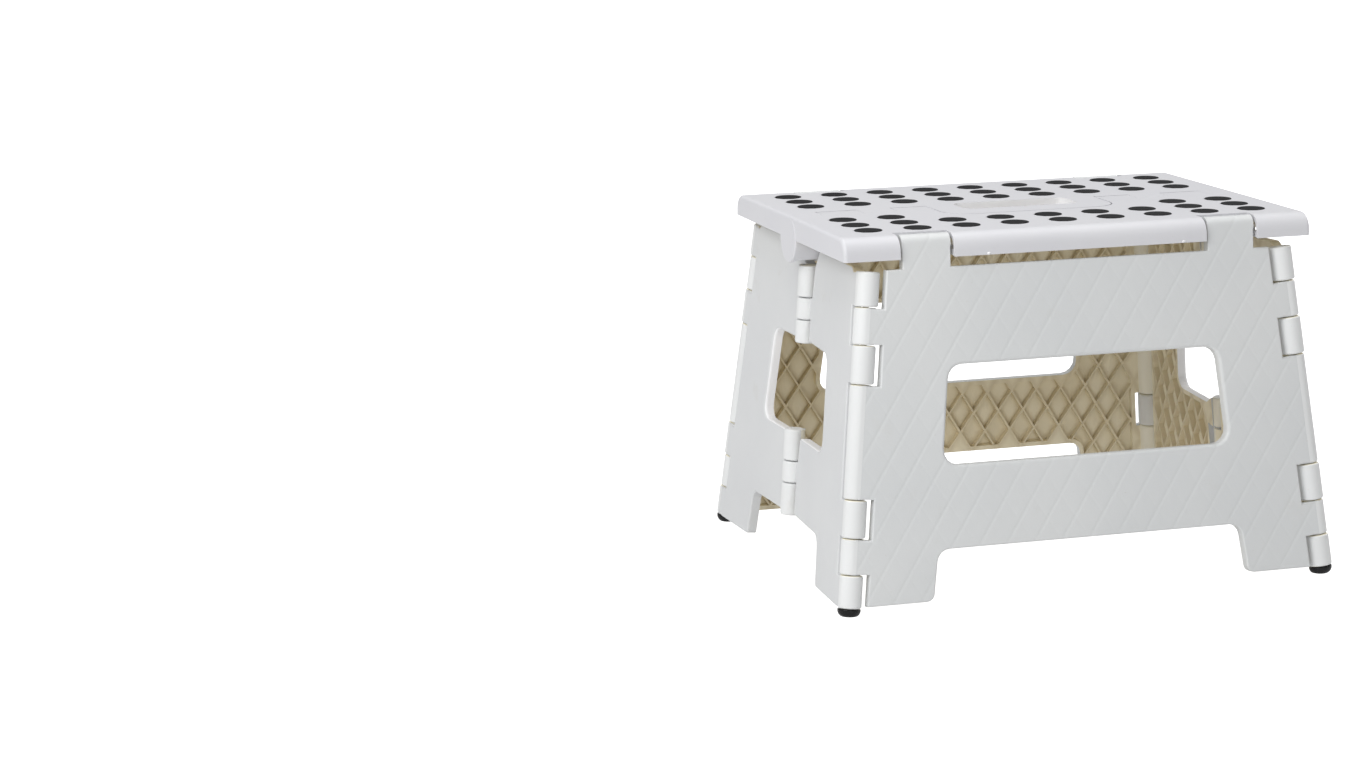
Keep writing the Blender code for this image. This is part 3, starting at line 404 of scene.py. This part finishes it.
def plastic(name, tones, gloss, bump, lattice=None, sink=0.0, pillow=0.0, shade=0.0):
    """Moulded plastic in a base, a drift and a smudge tone. A panel's lattice adds its diamond pattern, and
    painted shade in the smudge tone along its ribs.
    """
    made = bpy.data.materials.new(name)
    made.use_nodes = True
    tree = made.node_tree
    link = links(tree)
    shader = tree.nodes["Principled BSDF"]
    skin = node(tree, "ShaderNodeGroup", node_tree=SKIN_GROUP)
    for entry, tone in zip(("Colour", "Drift Colour", "Smudge Colour"), tones):
        skin.inputs[entry].default_value = tone
    skin.inputs["Gloss"].default_value = gloss
    relief = tree.nodes.new("ShaderNodeBump")
    relief.inputs["Distance"].default_value = bump
    shown = skin.outputs["Colour"]
    height = skin.outputs["Height"]
    if lattice:
        pattern = node(tree, "ShaderNodeGroup", node_tree=LINES_GROUP)
        for entry, value in zip(("Rising", "Falling", "Rising Start", "Falling Start"), lattice):
            pattern.inputs[entry].default_value = value
        # painted shade: the colour darkens towards the ribs, by the shade share
        rib_shade = ramp(tree, pattern.outputs["Pillow"], 0.80, 0.05)
        shown = mix_colour(tree, math_node(tree, "MULTIPLY", rib_shade, shade), shown, tones[2])
        lift = math_node(tree, "MULTIPLY", pattern.outputs["Pillow"], pillow)
        drop = math_node(tree, "MULTIPLY", pattern.outputs["Lines"], sink)
        height = math_node(tree, "ADD", height, math_node(tree, "SUBTRACT", lift, drop))
    tree.links.new(shown, shader.inputs["Base Color"])
    link(skin, "Roughness", shader, "Roughness")
    tree.links.new(height, relief.inputs["Height"])
    link(relief, "Normal", shader, "Normal")
    shader.inputs["IOR"].default_value = PLASTIC_IOR
    return made


LEG_TONES = ((0.705, 0.717, 0.718, 1.0), (0.675, 0.69, 0.695, 1.0), (0.57, 0.55, 0.50, 1.0))
SIDE_TONES = ((0.70, 0.71, 0.715, 1.0), (0.67, 0.68, 0.69, 1.0), (0.57, 0.55, 0.50, 1.0))
# Tan of the faces inside the stool and under the tread: painted warm shade
WARM_SHADE_TONES = ((0.97, 0.90, 0.71, 1.0), (0.90, 0.81, 0.60, 1.0), (0.56, 0.45, 0.27, 1.0))
TREAD_TONES = ((0.70, 0.70, 0.725, 1.0), (0.67, 0.67, 0.70, 1.0), (0.58, 0.56, 0.54, 1.0))
# Walls of the openings: a brighter copy of the white, painted light
RIM_LIT_TONES = ((0.94, 0.94, 0.95, 1.0), (0.90, 0.90, 0.92, 1.0), (0.72, 0.70, 0.67, 1.0))
# Knuckles: a lighter copy of the panels' white, painted light on their rounds
KNUCKLE_LIT_TONES = ((0.80, 0.81, 0.81, 1.0), (0.76, 0.77, 0.77, 1.0), (0.62, 0.60, 0.55, 1.0))
# Inward faces of the knuckles and their ends in the gaps: painted warm shade
KNUCKLE_SHADE_TONES = ((0.97, 0.94, 0.82, 1.0), (0.93, 0.88, 0.74, 1.0), (0.66, 0.58, 0.42, 1.0))
tread_white = plastic("tread white", TREAD_TONES, 0.40, PLASTIC_GRAIN)
rim_lit_white = plastic("rim white", RIM_LIT_TONES, 0.40, PLASTIC_GRAIN)
knuckle_lit_white = plastic("knuckle white", KNUCKLE_LIT_TONES, 0.40, PLASTIC_GRAIN)
knuckle_warm_shade = plastic("knuckle inside", KNUCKLE_SHADE_TONES, 0.44, PLASTIC_GRAIN)
tread_warm_shade = plastic("tread inside", WARM_SHADE_TONES, 0.50, INSIDE_GRAIN)


def rubber(name, gloss, shine, grain_size, bump):
    made = bpy.data.materials.new(name)
    made.use_nodes = True
    tree = made.node_tree
    link = links(tree)
    shader = tree.nodes["Principled BSDF"]
    skin = node(tree, "ShaderNodeGroup", node_tree=SKIN_GROUP)
    skin.inputs["Colour"].default_value = (0.010, 0.010, 0.011, 1.0)
    skin.inputs["Drift Colour"].default_value = (0.014, 0.014, 0.015, 1.0)
    skin.inputs["Smudge Colour"].default_value = (0.030, 0.029, 0.028, 1.0)
    skin.inputs["Gloss"].default_value = gloss
    place = tree.nodes.new("ShaderNodeTexCoord").outputs["Object"]
    pebble = node(tree, "ShaderNodeTexVoronoi", feature="F1")
    tree.links.new(place, pebble.inputs["Vector"])
    pebble.inputs["Scale"].default_value = grain_size
    height = math_node(tree, "ADD", skin.outputs["Height"], pebble.outputs["Distance"])
    relief = tree.nodes.new("ShaderNodeBump")
    relief.inputs["Distance"].default_value = bump
    tree.links.new(height, relief.inputs["Height"])
    link(skin, "Colour", shader, "Base Color")
    link(skin, "Roughness", shader, "Roughness")
    link(relief, "Normal", shader, "Normal")
    shader.inputs["Specular IOR Level"].default_value = shine
    return made


grip_rubber = rubber("grip rubber", 0.66, 0.16, 1400.0, 0.00008)
foot_rubber = rubber("foot rubber", 0.22, 0.22, 500.0, 0.00001)


def drawn_wire():
    """Drawn steel with fine scratches along its length, tinted lighter and warmer as painted warm light in
    the knuckle gaps.
    """
    made = bpy.data.materials.new("drawn wire")
    made.use_nodes = True
    tree = made.node_tree
    link = links(tree)
    shader = tree.nodes["Principled BSDF"]
    shader.inputs["Metallic"].default_value = 1.0
    stretch = tree.nodes.new("ShaderNodeMapping")
    stretch.inputs["Scale"].default_value = (900.0, 900.0, 40.0)
    link(tree.nodes.new("ShaderNodeTexCoord"), "Object", stretch, "Vector")
    scratch = noise(tree, stretch.outputs["Vector"], 1.0, 3.0)
    # Warm, light steel tones: partly the wire's own colour, partly painted warm light in the gaps
    colour = mix_colour(tree, scratch, (0.72, 0.69, 0.63, 1.0), (0.82, 0.79, 0.73, 1.0))
    tree.links.new(colour, shader.inputs["Base Color"])
    gloss = math_node(tree, "ADD", math_node(tree, "MULTIPLY", scratch, 0.25), 0.22)
    tree.links.new(gloss, shader.inputs["Roughness"])
    relief = tree.nodes.new("ShaderNodeBump")
    relief.inputs["Distance"].default_value = 0.00003
    tree.links.new(scratch, relief.inputs["Height"])
    link(relief, "Normal", shader, "Normal")
    return made


hinge_steel = drawn_wire()


# Panels

def panel_copy(name, piece_name):
    """Merged copy of a solid, with its flat faces whole again."""
    mesh = frame["nodes"][name].data.copy()
    mesh.name = piece_name
    piece = bpy.data.objects.new(piece_name, mesh)
    bpy.context.collection.objects.link(piece)
    bpy.ops.object.select_all(action="DESELECT")
    piece.select_set(True)
    bpy.context.view_layer.objects.active = piece
    bpy.ops.mesh.customdata_custom_splitnormals_clear()
    edit(piece)
    bpy.ops.mesh.select_all(action="SELECT")
    bpy.ops.mesh.remove_doubles(threshold=NEAR)
    bpy.ops.mesh.dissolve_limited(angle_limit=FLAT)
    bpy.ops.mesh.mark_sharp(clear=True)
    done()
    return piece


def outer_plane(piece):
    """Outward direction and distance of a panel's outer face, its largest flat one."""
    face = max(piece.data.polygons, key=lambda item: item.area)
    return face.normal.copy(), face.center.dot(face.normal)


def depth_below(outward, level):
    return lambda point: level - point.dot(outward)


def fine_ribs(piece, outward, level, up):
    """Ribs halfway between the solid ones, drawn up from the pocket floors."""
    depth = depth_below(outward, level)
    across = up.cross(outward).normalized()
    slant = math.hypot(CELL_SLOPE, 1.0)
    families = [(across * CELL_SLOPE + up * way) / slant for way in (-1.0, 1.0)]
    inner = max(depth(vert.co) for vert in piece.data.vertices if depth(vert.co) < PANEL_REACH)

    def on_floor(face):
        return all(abs(depth(vert.co) - SKIN) < NEAR for vert in face.verts)

    edit(piece, "FACE")
    middles = []
    for normal in families:
        turn = complex(0.0, 0.0)
        low, high = math.inf, -math.inf
        bm = bmesh.from_edit_mesh(piece.data)
        for face in bm.faces:
            place = face.calc_center_median().dot(normal)
            if abs(face.normal.dot(normal)) > ALIGNED:
                angle = 2.0 * math.pi * place / CELL_PITCH
                turn += complex(math.cos(angle), math.sin(angle)) * face.calc_area()
            if on_floor(face):
                low = min([low] + [vert.co.dot(normal) for vert in face.verts])
                high = max([high] + [vert.co.dot(normal) for vert in face.verts])
        start = math.atan2(turn.imag, turn.real) / (2.0 * math.pi) * CELL_PITCH + CELL_PITCH / 2.0
        first = math.ceil((low - start) / CELL_PITCH)
        last = math.floor((high - start) / CELL_PITCH)
        middles.append([start + index * CELL_PITCH for index in range(first, last + 1)])
    for normal, places in zip(families, middles):
        for place in places:
            for side in (-FINE_RIB / 2.0, FINE_RIB / 2.0):
                pick_faces(piece, on_floor)
                bpy.ops.mesh.bisect(plane_co=normal * (place + side), plane_no=normal)

    def on_rib(face):
        if not on_floor(face):
            return False
        if face.calc_area() < SCRAP:
            return True
        middle = face.calc_center_median()
        for normal, places in zip(families, middles):
            if any(abs(middle.dot(normal) - place) < FINE_RIB / 2.0 for place in places):
                return True
        return False

    if pick_faces(piece, on_rib):
        lift = -outward * (inner - SKIN - FINE_RIB_DROP)
        bpy.ops.mesh.extrude_region_move(TRANSFORM_OT_translate={"value": tuple(lift)})
    floor = SKIN
    for inset, rise in PILLOW_STEPS:
        def roomy(face):
            level_face = all(abs(depth(vert.co) - floor) < NEAR for vert in face.verts)
            return level_face and min(edge.calc_length() for edge in face.edges) > PILLOW_ROOM * inset

        if pick_faces(piece, roomy):
            bpy.ops.mesh.inset(thickness=inset, depth=rise, use_individual=True)
        floor += rise
    done()
    turns = [tuple(normal * 2.0 / CELL_PITCH) for normal in families]
    starts = [places[0] * 2.0 / CELL_PITCH for places in middles]
    return turns + starts


# The second finish goes on the faces that pass the test; here it always carries painted warm shade.
def paint_inside(piece, outside, inside, is_inside):
    piece.data.materials.clear()
    piece.data.materials.append(outside)
    piece.data.materials.append(inside)
    for face in piece.data.polygons:
        face.material_index = 1 if is_inside(face) else 0


def paint_rim(piece, on_rim):
    """Give the walls of an opening a brighter white, painted light, after paint_inside."""
    piece.data.materials.append(rim_lit_white)
    for face in piece.data.polygons:
        if on_rim(face):
            face.material_index = 2


def flush(piece, outward, level, proud, reach):
    """Set a barrel's crest level with the panel's outer face, so that the two run into each other."""
    depth = depth_below(outward, level)
    for vert in piece.data.vertices:
        over = -proud - depth(vert.co)
        if 0.0 < over < reach and abs(vert.co.y) > MID_REACH:
            vert.co -= outward * over


def slim_barrels(piece, corners):
    """Draw a panel's own barrels in, under the rounder knuckles that cover them."""
    for corner in corners:
        foot = Vector(joints[corner + "_corner_hinge"]["pos_m"])
        axis = Vector(joints[corner + "_corner_hinge"]["axis"]).normalized()
        for vert in piece.data.vertices:
            from_axis = vert.co - foot - axis * (vert.co - foot).dot(axis)
            if abs(from_axis.length - BARREL_RADIUS) < NEAR:
                vert.co -= from_axis.normalized() * BARREL_SLIM


outer_faces = {}


def moulded_panel(name, up, tones, sink, body, corners, in_window, at_corner, corner_round):
    """Leg panel or side half with its fine ribs, rounded window rims and broken edges."""
    is_side = name.endswith("_side_panel")
    piece = panel_copy(name, name + "_moulded")
    outward, level = outer_plane(piece)
    outer_faces[body] = (outward, level)
    depth = depth_below(outward, level)
    flush(piece, outward, level, 0.0, FLUSH_REACH)
    slim_barrels(piece, corners)

    def through(edge):
        way = edge.verts[1].co - edge.verts[0].co
        return abs(way.normalized().dot(outward)) > SQUARE and all(at_corner(vert.co) for vert in edge.verts)

    def on_outer(edge):
        return sharp(edge, STEEP) and all(abs(depth(vert.co)) < ON_FACE for vert in edge.verts)

    def on_rim(edge):
        return on_outer(edge) and all(in_window(vert.co) for vert in edge.verts)

    def on_border(edge):
        return on_outer(edge) and all(abs(vert.co.y) > MID_EDGE for vert in edge.verts)

    round_edges(piece, corner_round, 5, through)
    lattice = fine_ribs(piece, outward, level, up)
    outside = plastic(name + " white", tones, 0.46, PLASTIC_GRAIN, lattice, sink, OUTSIDE_PILLOW)
    inside = plastic(name + " inside", WARM_SHADE_TONES, 0.50, INSIDE_GRAIN, lattice, 0.0, INSIDE_PILLOW,
                     INSIDE_SHADE)

    # Pocket faces, and the side halves' top edges under the tread, get the painted warm shade.
    def within(face):
        deep = all(depth(piece.data.vertices[index].co) > SKIN - LEVEL_NEAR for index in face.vertices)
        on_top = is_side and face.normal.z > LEVEL and face.center.z > SIDE_EDGE_LOW
        return (deep and face.center.z < INSIDE_TOP and abs(face.center.y) > MID_EDGE) or on_top

    # Window walls get the brighter white, painted light.
    def window_wall(face):
        return abs(face.normal.dot(outward)) < ACROSS and in_window(face.center) and not within(face)

    paint_inside(piece, outside, inside, within)
    if is_side:
        paint_rim(piece, window_wall)
    round_edges(piece, RIM_ROUND, 4, on_rim)
    round_edges(piece, EDGE_ROUND, 3, on_border)
    smooth(piece)
    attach(piece, body)
    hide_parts(name)


for half, way in (("rear", -1.0), ("front", 1.0)):
    axis = joints["left_" + half + "_corner_hinge"]["axis"]
    lean = math.atan2(abs(axis[1]), axis[2])
    lean_up = Vector((0.0, way * math.sin(lean), math.cos(lean)))
    moulded_panel(half + "_leg_panel", lean_up, LEG_TONES, LEG_SINK, half + "_leg",
                  [corner for corner in CORNERS if corner.endswith(half)],
                  lambda point: abs(point.x) < LEG_WINDOW[0] and LEG_WINDOW[1] < point.z < LEG_WINDOW[2],
                  lambda point: abs(point.x) < LEG_ARCH and point.z < ARCH_FOOT, LEG_CORNER)

for corner in CORNERS:
    axis = Vector(joints[corner + "_corner_hinge"]["axis"])
    moulded_panel(corner + "_side_panel", axis, SIDE_TONES, SIDE_SINK, corner, [corner],
                  lambda point: abs(point.y) < SIDE_WINDOW[0] and SIDE_WINDOW[1] < point.z < SIDE_WINDOW[2],
                  lambda point: abs(point.y) < SIDE_ARCH and point.z < ARCH_FOOT, SIDE_CORNER)


# Tread halves

def tread_half(half):
    name = half + "_top_panel"
    piece = panel_copy(name, name + "_moulded")
    low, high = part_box(name)
    top = high.z
    end = high.x
    long_edge = max(abs(low.y), abs(high.y))
    way = 1.0 if half == "rear" else -1.0

    def at_end(edge):
        return all(abs(vert.co.x) > end - NEAR for vert in edge.verts)

    def end_rim(edge):
        if not (sharp(edge, STEEP) and at_end(edge)):
            return False
        first, last = (vert.co.z for vert in edge.verts)
        on_top = min(first, last) > top - NEAR
        on_front = all(abs(vert.co.y) > long_edge - LONG_ROUND for vert in edge.verts)
        on_bottom = abs(first - last) < NEAR and first < top - LONG_ROUND / 2.0
        return on_top or (on_front and not on_bottom)

    # Faces under the tread and in the slots beside the fingers get the painted warm shade.
    def underneath(face):
        clear_of_end = abs(face.center.x) < end - SKIRT_INSIDE
        within = clear_of_end and HINGE_REACH < face.center.y * way < long_edge - SKIRT_INSIDE
        below = face.normal.z < -ACROSS and face.center.z < top - PLATE_UNDER
        near_hinge = math.hypot(face.center.y, face.center.z - FOLD_Z) < SLOT_REACH
        in_slot = near_hinge and abs(face.normal.x) < ACROSS and abs(face.center.x) > HAND_REACH[0]
        return (below and within) or (in_slot and face.normal.z < ACROSS)

    def disc_rim(edge):
        near_hinge = all(abs(vert.co.y) < HINGE_REACH for vert in edge.verts)
        return sharp(edge, STEEP) and at_end(edge) and near_hinge

    # The hand opening's walls get the brighter white, painted light.
    def in_hand_opening(face):
        within = abs(face.center.x) < HAND_REACH[0] and abs(face.center.y) < HAND_REACH[1]
        return within and abs(face.normal.z) < ACROSS and face.center.z > top - SKIRT_DEPTH

    paint_inside(piece, tread_white, tread_warm_shade, underneath)
    paint_rim(piece, in_hand_opening)
    round_edges(piece, TREAD_ROUND, 4, end_rim)
    round_edges(piece, DISC_ROUND, 3, disc_rim)
    smooth(piece)
    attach(piece, half + "_top")
    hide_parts(name)


for half in ("rear", "front"):
    tread_half(half)


# Knuckles of the corner and middle hinges

def turned_to(start, end):
    """Place for a piece that is modelled up the Z axis from the origin."""
    turn = Vector((0.0, 0.0, 1.0)).rotation_difference(end - start).to_matrix().to_4x4()
    return Matrix.Translation(start) @ turn


def sleeve(radius, length):
    bpy.ops.object.select_all(action="DESELECT")
    bpy.ops.mesh.primitive_cylinder_add(vertices=ROUND_SIDES, radius=radius, depth=length + 2.0 * SLEEVE_LAP,
                                        location=(0.0, 0.0, length / 2.0))
    piece = bpy.context.active_object
    settle(piece)
    round_edges(piece, KNUCKLE_END, 4, lambda edge: sharp(edge, STEEP))
    smooth(piece)
    return piece


def knuckle_bands():
    bands = []
    low = FOOT_HEIGHT
    for length, owner in zip(LOWER_KNUCKLES, ("side", "leg", "side")):
        bands.append((low, low + length, owner))
        low += length
    high = SHOULDER_UP
    for length, owner in zip(UPPER_KNUCKLES, ("side", "leg", "side")):
        bands.append((high - length, high, owner))
        high -= length
    bands.append((low, high, "leg"))
    return bands


def run_in(piece, start, axis, body, owner):
    """Let a knuckle's round run into its panel's outer face."""
    outward, level = outer_faces[body]
    depth = depth_below(outward, level)
    flush(piece, outward, level, CREST_PROUD, FLUSH_REACH + SIDE_SLEEVE)
    inboard = Vector((-start.x, 0.0, 0.0)) if owner == "leg" else Vector((0.0, -start.y, 0.0))
    inboard.normalize()

    def within(face):
        middle = face.calc_center_median()
        from_axis = middle - start - axis * (middle - start).dot(axis)
        return depth(middle) < PANEL / 2.0 and from_axis.dot(inboard) > KNUCKLE_PAST

    edit(piece, "FACE")
    if pick_faces(piece, within):
        bpy.ops.mesh.delete(type="FACE")
    done()


knuckles = {body: [] for body in frame["bodies"]}
for corner in CORNERS:
    hinge = joints[corner + "_corner_hinge"]
    foot = Vector(hinge["pos_m"])
    axis = Vector(hinge["axis"]).normalized()
    stretch = 1.0 / math.sqrt(1.0 - axis.x ** 2)
    for low, high, owner in knuckle_bands():
        start = foot + axis * (low * stretch + KNUCKLE_GAP / 2.0)
        end = foot + axis * (high * stretch - KNUCKLE_GAP / 2.0)
        if low == FOOT_HEIGHT:
            start = foot + axis * (low * stretch + CLEAR)
        proud = SIDE_SLEEVE if owner == "side" else CREST_PROUD
        made = sleeve(BARREL_RADIUS + proud, (end - start).length)
        made.data.transform(turned_to(start, end))
        body = corner if owner == "side" else corner.split("_")[1] + "_leg"
        run_in(made, start, axis, body, owner)
        knuckles[body].append(made)


def rod_ends(name):
    """Middle points of a rod's two ends."""
    points = [vert.co.copy() for vert in frame["nodes"][name].data.vertices]
    points.sort(key=lambda point: point.z)
    count = len(points) // 4
    low = sum(points[:count], Vector()) / count
    high = sum(points[-count:], Vector()) / count
    return low, high


for side in ("left", "right"):
    for level in ("upper", "lower"):
        low, high = rod_ends(side + "_" + level + "_mid_rod")
        way = (high - low).normalized()
        low -= way * CLEAR
        high += way * (ROD_CAP + CLEAR)
        first = high - way * MID_KNUCKLES[0]
        second = first - way * MID_KNUCKLES[1]
        gap = way * KNUCKLE_GAP / 2.0
        spans = ((first + gap, high, "rear"), (second + gap, first - gap, "front"),
                 (low, second - gap, "rear"))
        for start, end, half in spans:
            made = sleeve(MID_RADIUS + MID_PROUD, (end - start).length)
            made.data.transform(turned_to(start, end))
            knuckles[side + "_" + half].append(made)


def in_gap(face):
    """Knuckle ends that face each other, which get painted warm shade."""
    level = abs(face.normal.z) > LEVEL and face.center.z < INSIDE_TOP
    return level and (abs(face.center.y) > MID_REACH or face.center.z > MID_TOP_LOW)


def turned_in(face):
    return face.normal.dot(Vector((-face.center.x, -face.center.y, 0.0)).normalized()) > INWARD


def leg_warm_shade(face):
    return in_gap(face) or turned_in(face)


def side_warm_shade(face):
    return in_gap(face) or (abs(face.center.y) < MID_REACH and turned_in(face))


# Each knuckle stack: lighter white, painted light, with painted warm shade on its inward faces and gap ends
for body, parts in knuckles.items():
    if parts:
        stack = joined(parts, body + "_knuckles")
        shade_test = leg_warm_shade if body.endswith("_leg") else side_warm_shade
        paint_inside(stack, knuckle_lit_white, knuckle_warm_shade, shade_test)
        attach(stack, body)


# Moulding nubs on the lower edge of the front skirt

def skirt_nubs():
    low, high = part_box("front_top_panel")
    skirt_low = TREAD_TOP - SKIRT_DEPTH
    parts = []
    for x in NUB_PLACES:
        bpy.ops.object.select_all(action="DESELECT")
        bpy.ops.mesh.primitive_uv_sphere_add(segments=20, ring_count=12, radius=NUB_RADIUS,
                                             location=(x, low.y + NUB_RADIUS / 2.0, skirt_low + NUB_RADIUS))
        nub = bpy.context.active_object
        nub.scale = (NUB_STRETCH, 1.0, 1.0)
        settle(nub)
        edit(nub)
        bpy.ops.mesh.select_all(action="SELECT")
        bpy.ops.mesh.bisect(plane_co=(0.0, low.y + NUB_RADIUS / 4.0, 0.0), plane_no=(0.0, 1.0, 0.0),
                            use_fill=True, clear_outer=True)
        done()
        smooth(nub)
        parts.append(nub)
    # The nubs wear the same brighter white, painted light.
    finish_piece(joined(parts, "front_skirt_nubs"), rim_lit_white, "front_top", "tread_white")


skirt_nubs()


# Grip dots on their runners

def grip_dot():
    bpy.ops.object.select_all(action="DESELECT")
    bpy.ops.mesh.primitive_cylinder_add(vertices=ROUND_SIDES, radius=DOT_RADIUS, depth=DOT_HEIGHT,
                                        location=(0.0, 0.0, -DOT_HEIGHT / 2.0))
    piece = bpy.context.active_object
    settle(piece)
    round_edges(piece, DOT_ROUND, 3, lambda edge: sharp(edge, STEEP) and edge.verts[0].co.z > -LEVEL_NEAR)
    smooth(piece)
    return piece


def grip_strip(name, body):
    low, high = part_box(name)
    middle = (low.y + high.y) / 2.0
    count = round((high.x - low.x - 2.0 * DOT_RADIUS) / DOT_PITCH) + 1
    parts = []
    dot = grip_dot()
    for index in range(count):
        x = low.x + DOT_RADIUS + index * DOT_PITCH
        parts.append(copied(dot, "dot", Matrix.Translation((x, middle, high.z))))
    bpy.data.objects.remove(dot)
    bpy.ops.object.select_all(action="DESELECT")
    place = ((low.x + high.x) / 2.0, middle, low.z + RUNNER_THICKNESS / 2.0)
    bpy.ops.mesh.primitive_cube_add(size=1.0, location=place)
    runner = bpy.context.active_object
    runner.scale = (high.x - low.x - 2.0 * DOT_RADIUS, RUNNER_WIDTH, RUNNER_THICKNESS)
    settle(runner)
    round_edges(runner, DOT_ROUND, 2, lambda edge: True)
    smooth(runner)
    parts.append(runner)
    strip = joined(parts, name + "_rubber")
    finish_piece(strip, grip_rubber, body, "grip_rubber", name)


for name in sorted(frame["nodes"]):
    if "_grip_" in name:
        grip_strip(name, name.split("_")[0] + "_top")


# Feet

def foot_dome(corner):
    hinge = joints[corner + "_corner_hinge"]
    axis = Vector(hinge["axis"]).normalized()
    stretch = 1.0 / math.sqrt(1.0 - axis.x ** 2)
    top = FOOT_HEIGHT * stretch - CLEAR
    bpy.ops.object.select_all(action="DESELECT")
    bpy.ops.mesh.primitive_cylinder_add(vertices=ROUND_SIDES, radius=FOOT_RADIUS, depth=top + FOOT_SINK,
                                        location=(0.0, 0.0, (top - FOOT_SINK) / 2.0))
    piece = bpy.context.active_object
    settle(piece)
    round_edges(piece, FOOT_ROUND, 8, lambda edge: sharp(edge, STEEP) and edge.verts[0].co.z < 0.0)
    round_edges(piece, FOOT_EDGE, 2, lambda edge: sharp(edge, STEEP) and edge.verts[0].co.z > top / 2.0)
    foot = Vector(hinge["pos_m"])
    piece.data.transform(turned_to(foot, foot + axis))
    edit(piece)
    bpy.ops.mesh.select_all(action="SELECT")
    bpy.ops.mesh.bisect(plane_co=(0.0, 0.0, 0.0), plane_no=(0.0, 0.0, -1.0), use_fill=True, clear_outer=True,
                        threshold=FLOOR_NEAR)
    done()
    smooth(piece)
    piece.name = corner + "_foot_dome"
    finish_piece(piece, foot_rubber, corner, "foot_rubber", corner + "_foot")


for corner in CORNERS:
    foot_dome(corner)


# Hinge wire stays as it is, with its own finish
for name, wire in frame["nodes"].items():
    if name.endswith("_rod") or "_pin_" in name:
        wire.data.materials.clear()
        wire.data.materials.append(hinge_steel)


# Floor, light and camera

def studio():
    bpy.ops.object.select_all(action="DESELECT")
    bpy.ops.mesh.primitive_plane_add(size=FLOOR_SIZE, location=(0.0, 0.0, 0.0))
    floor = bpy.context.active_object
    floor.name = "studio_floor"
    paper = bpy.data.materials.new("studio paper")
    paper.use_nodes = True
    shader = paper.node_tree.nodes["Principled BSDF"]
    shader.inputs["Base Color"].default_value = (FLOOR_TONE, FLOOR_TONE, FLOOR_TONE, 1.0)
    shader.inputs["Roughness"].default_value = 0.9
    shader.inputs["Specular IOR Level"].default_value = 0.1
    shader.inputs["Emission Color"].default_value = (1.0, 1.0, 1.0, 1.0)
    seen = paper.node_tree.nodes.new("ShaderNodeLightPath").outputs["Is Camera Ray"]
    glow = math_node(paper.node_tree, "MULTIPLY_ADD", seen, FLOOR_SEEN)
    glow.node.inputs[2].default_value = FLOOR_GLOW
    paper.node_tree.links.new(glow, shader.inputs["Emission Strength"])
    floor.data.materials.append(paper)

    world = bpy.data.worlds.new("studio air")
    bpy.context.scene.world = world
    world.use_nodes = True
    world.node_tree.nodes["Background"].inputs["Color"].default_value = (1.0, 1.0, 1.0, 1.0)
    world.node_tree.nodes["Background"].inputs["Strength"].default_value = AIR_GLOW

    for name, place, size, power in LAMPS:
        lamp = bpy.data.lights.new(name, "AREA")
        lamp.size = size
        lamp.energy = power
        holder = bpy.data.objects.new(name, lamp)
        bpy.context.collection.objects.link(holder)
        holder.location = place
        aim = LAMP_AIM - Vector(place)
        holder.rotation_euler = aim.to_track_quat("-Z", "Y").to_euler()


def camera():
    back = Vector((math.sin(VIEW_TURN) * math.cos(VIEW_LIFT), -math.cos(VIEW_TURN) * math.cos(VIEW_LIFT),
                   math.sin(VIEW_LIFT)))
    right = Vector((math.cos(VIEW_TURN), math.sin(VIEW_TURN), 0.0))
    up = back.cross(right)
    tilted_right = right * math.cos(VIEW_ROLL) + up * math.sin(VIEW_ROLL)
    tilted_up = up * math.cos(VIEW_ROLL) - right * math.sin(VIEW_ROLL)
    eye = bpy.data.cameras.new("camera")
    eye.lens = VIEW_LENS
    eye.sensor_width = 36.0
    holder = bpy.data.objects.new("camera", eye)
    bpy.context.collection.objects.link(holder)
    turn = Matrix((tilted_right, tilted_up, back)).transposed().to_4x4()
    holder.matrix_world = Matrix.Translation(VIEW_AIM + back * VIEW_DISTANCE) @ turn
    bpy.context.scene.camera = holder


studio()
camera()
bpy.context.scene.view_settings.view_transform = "Standard"
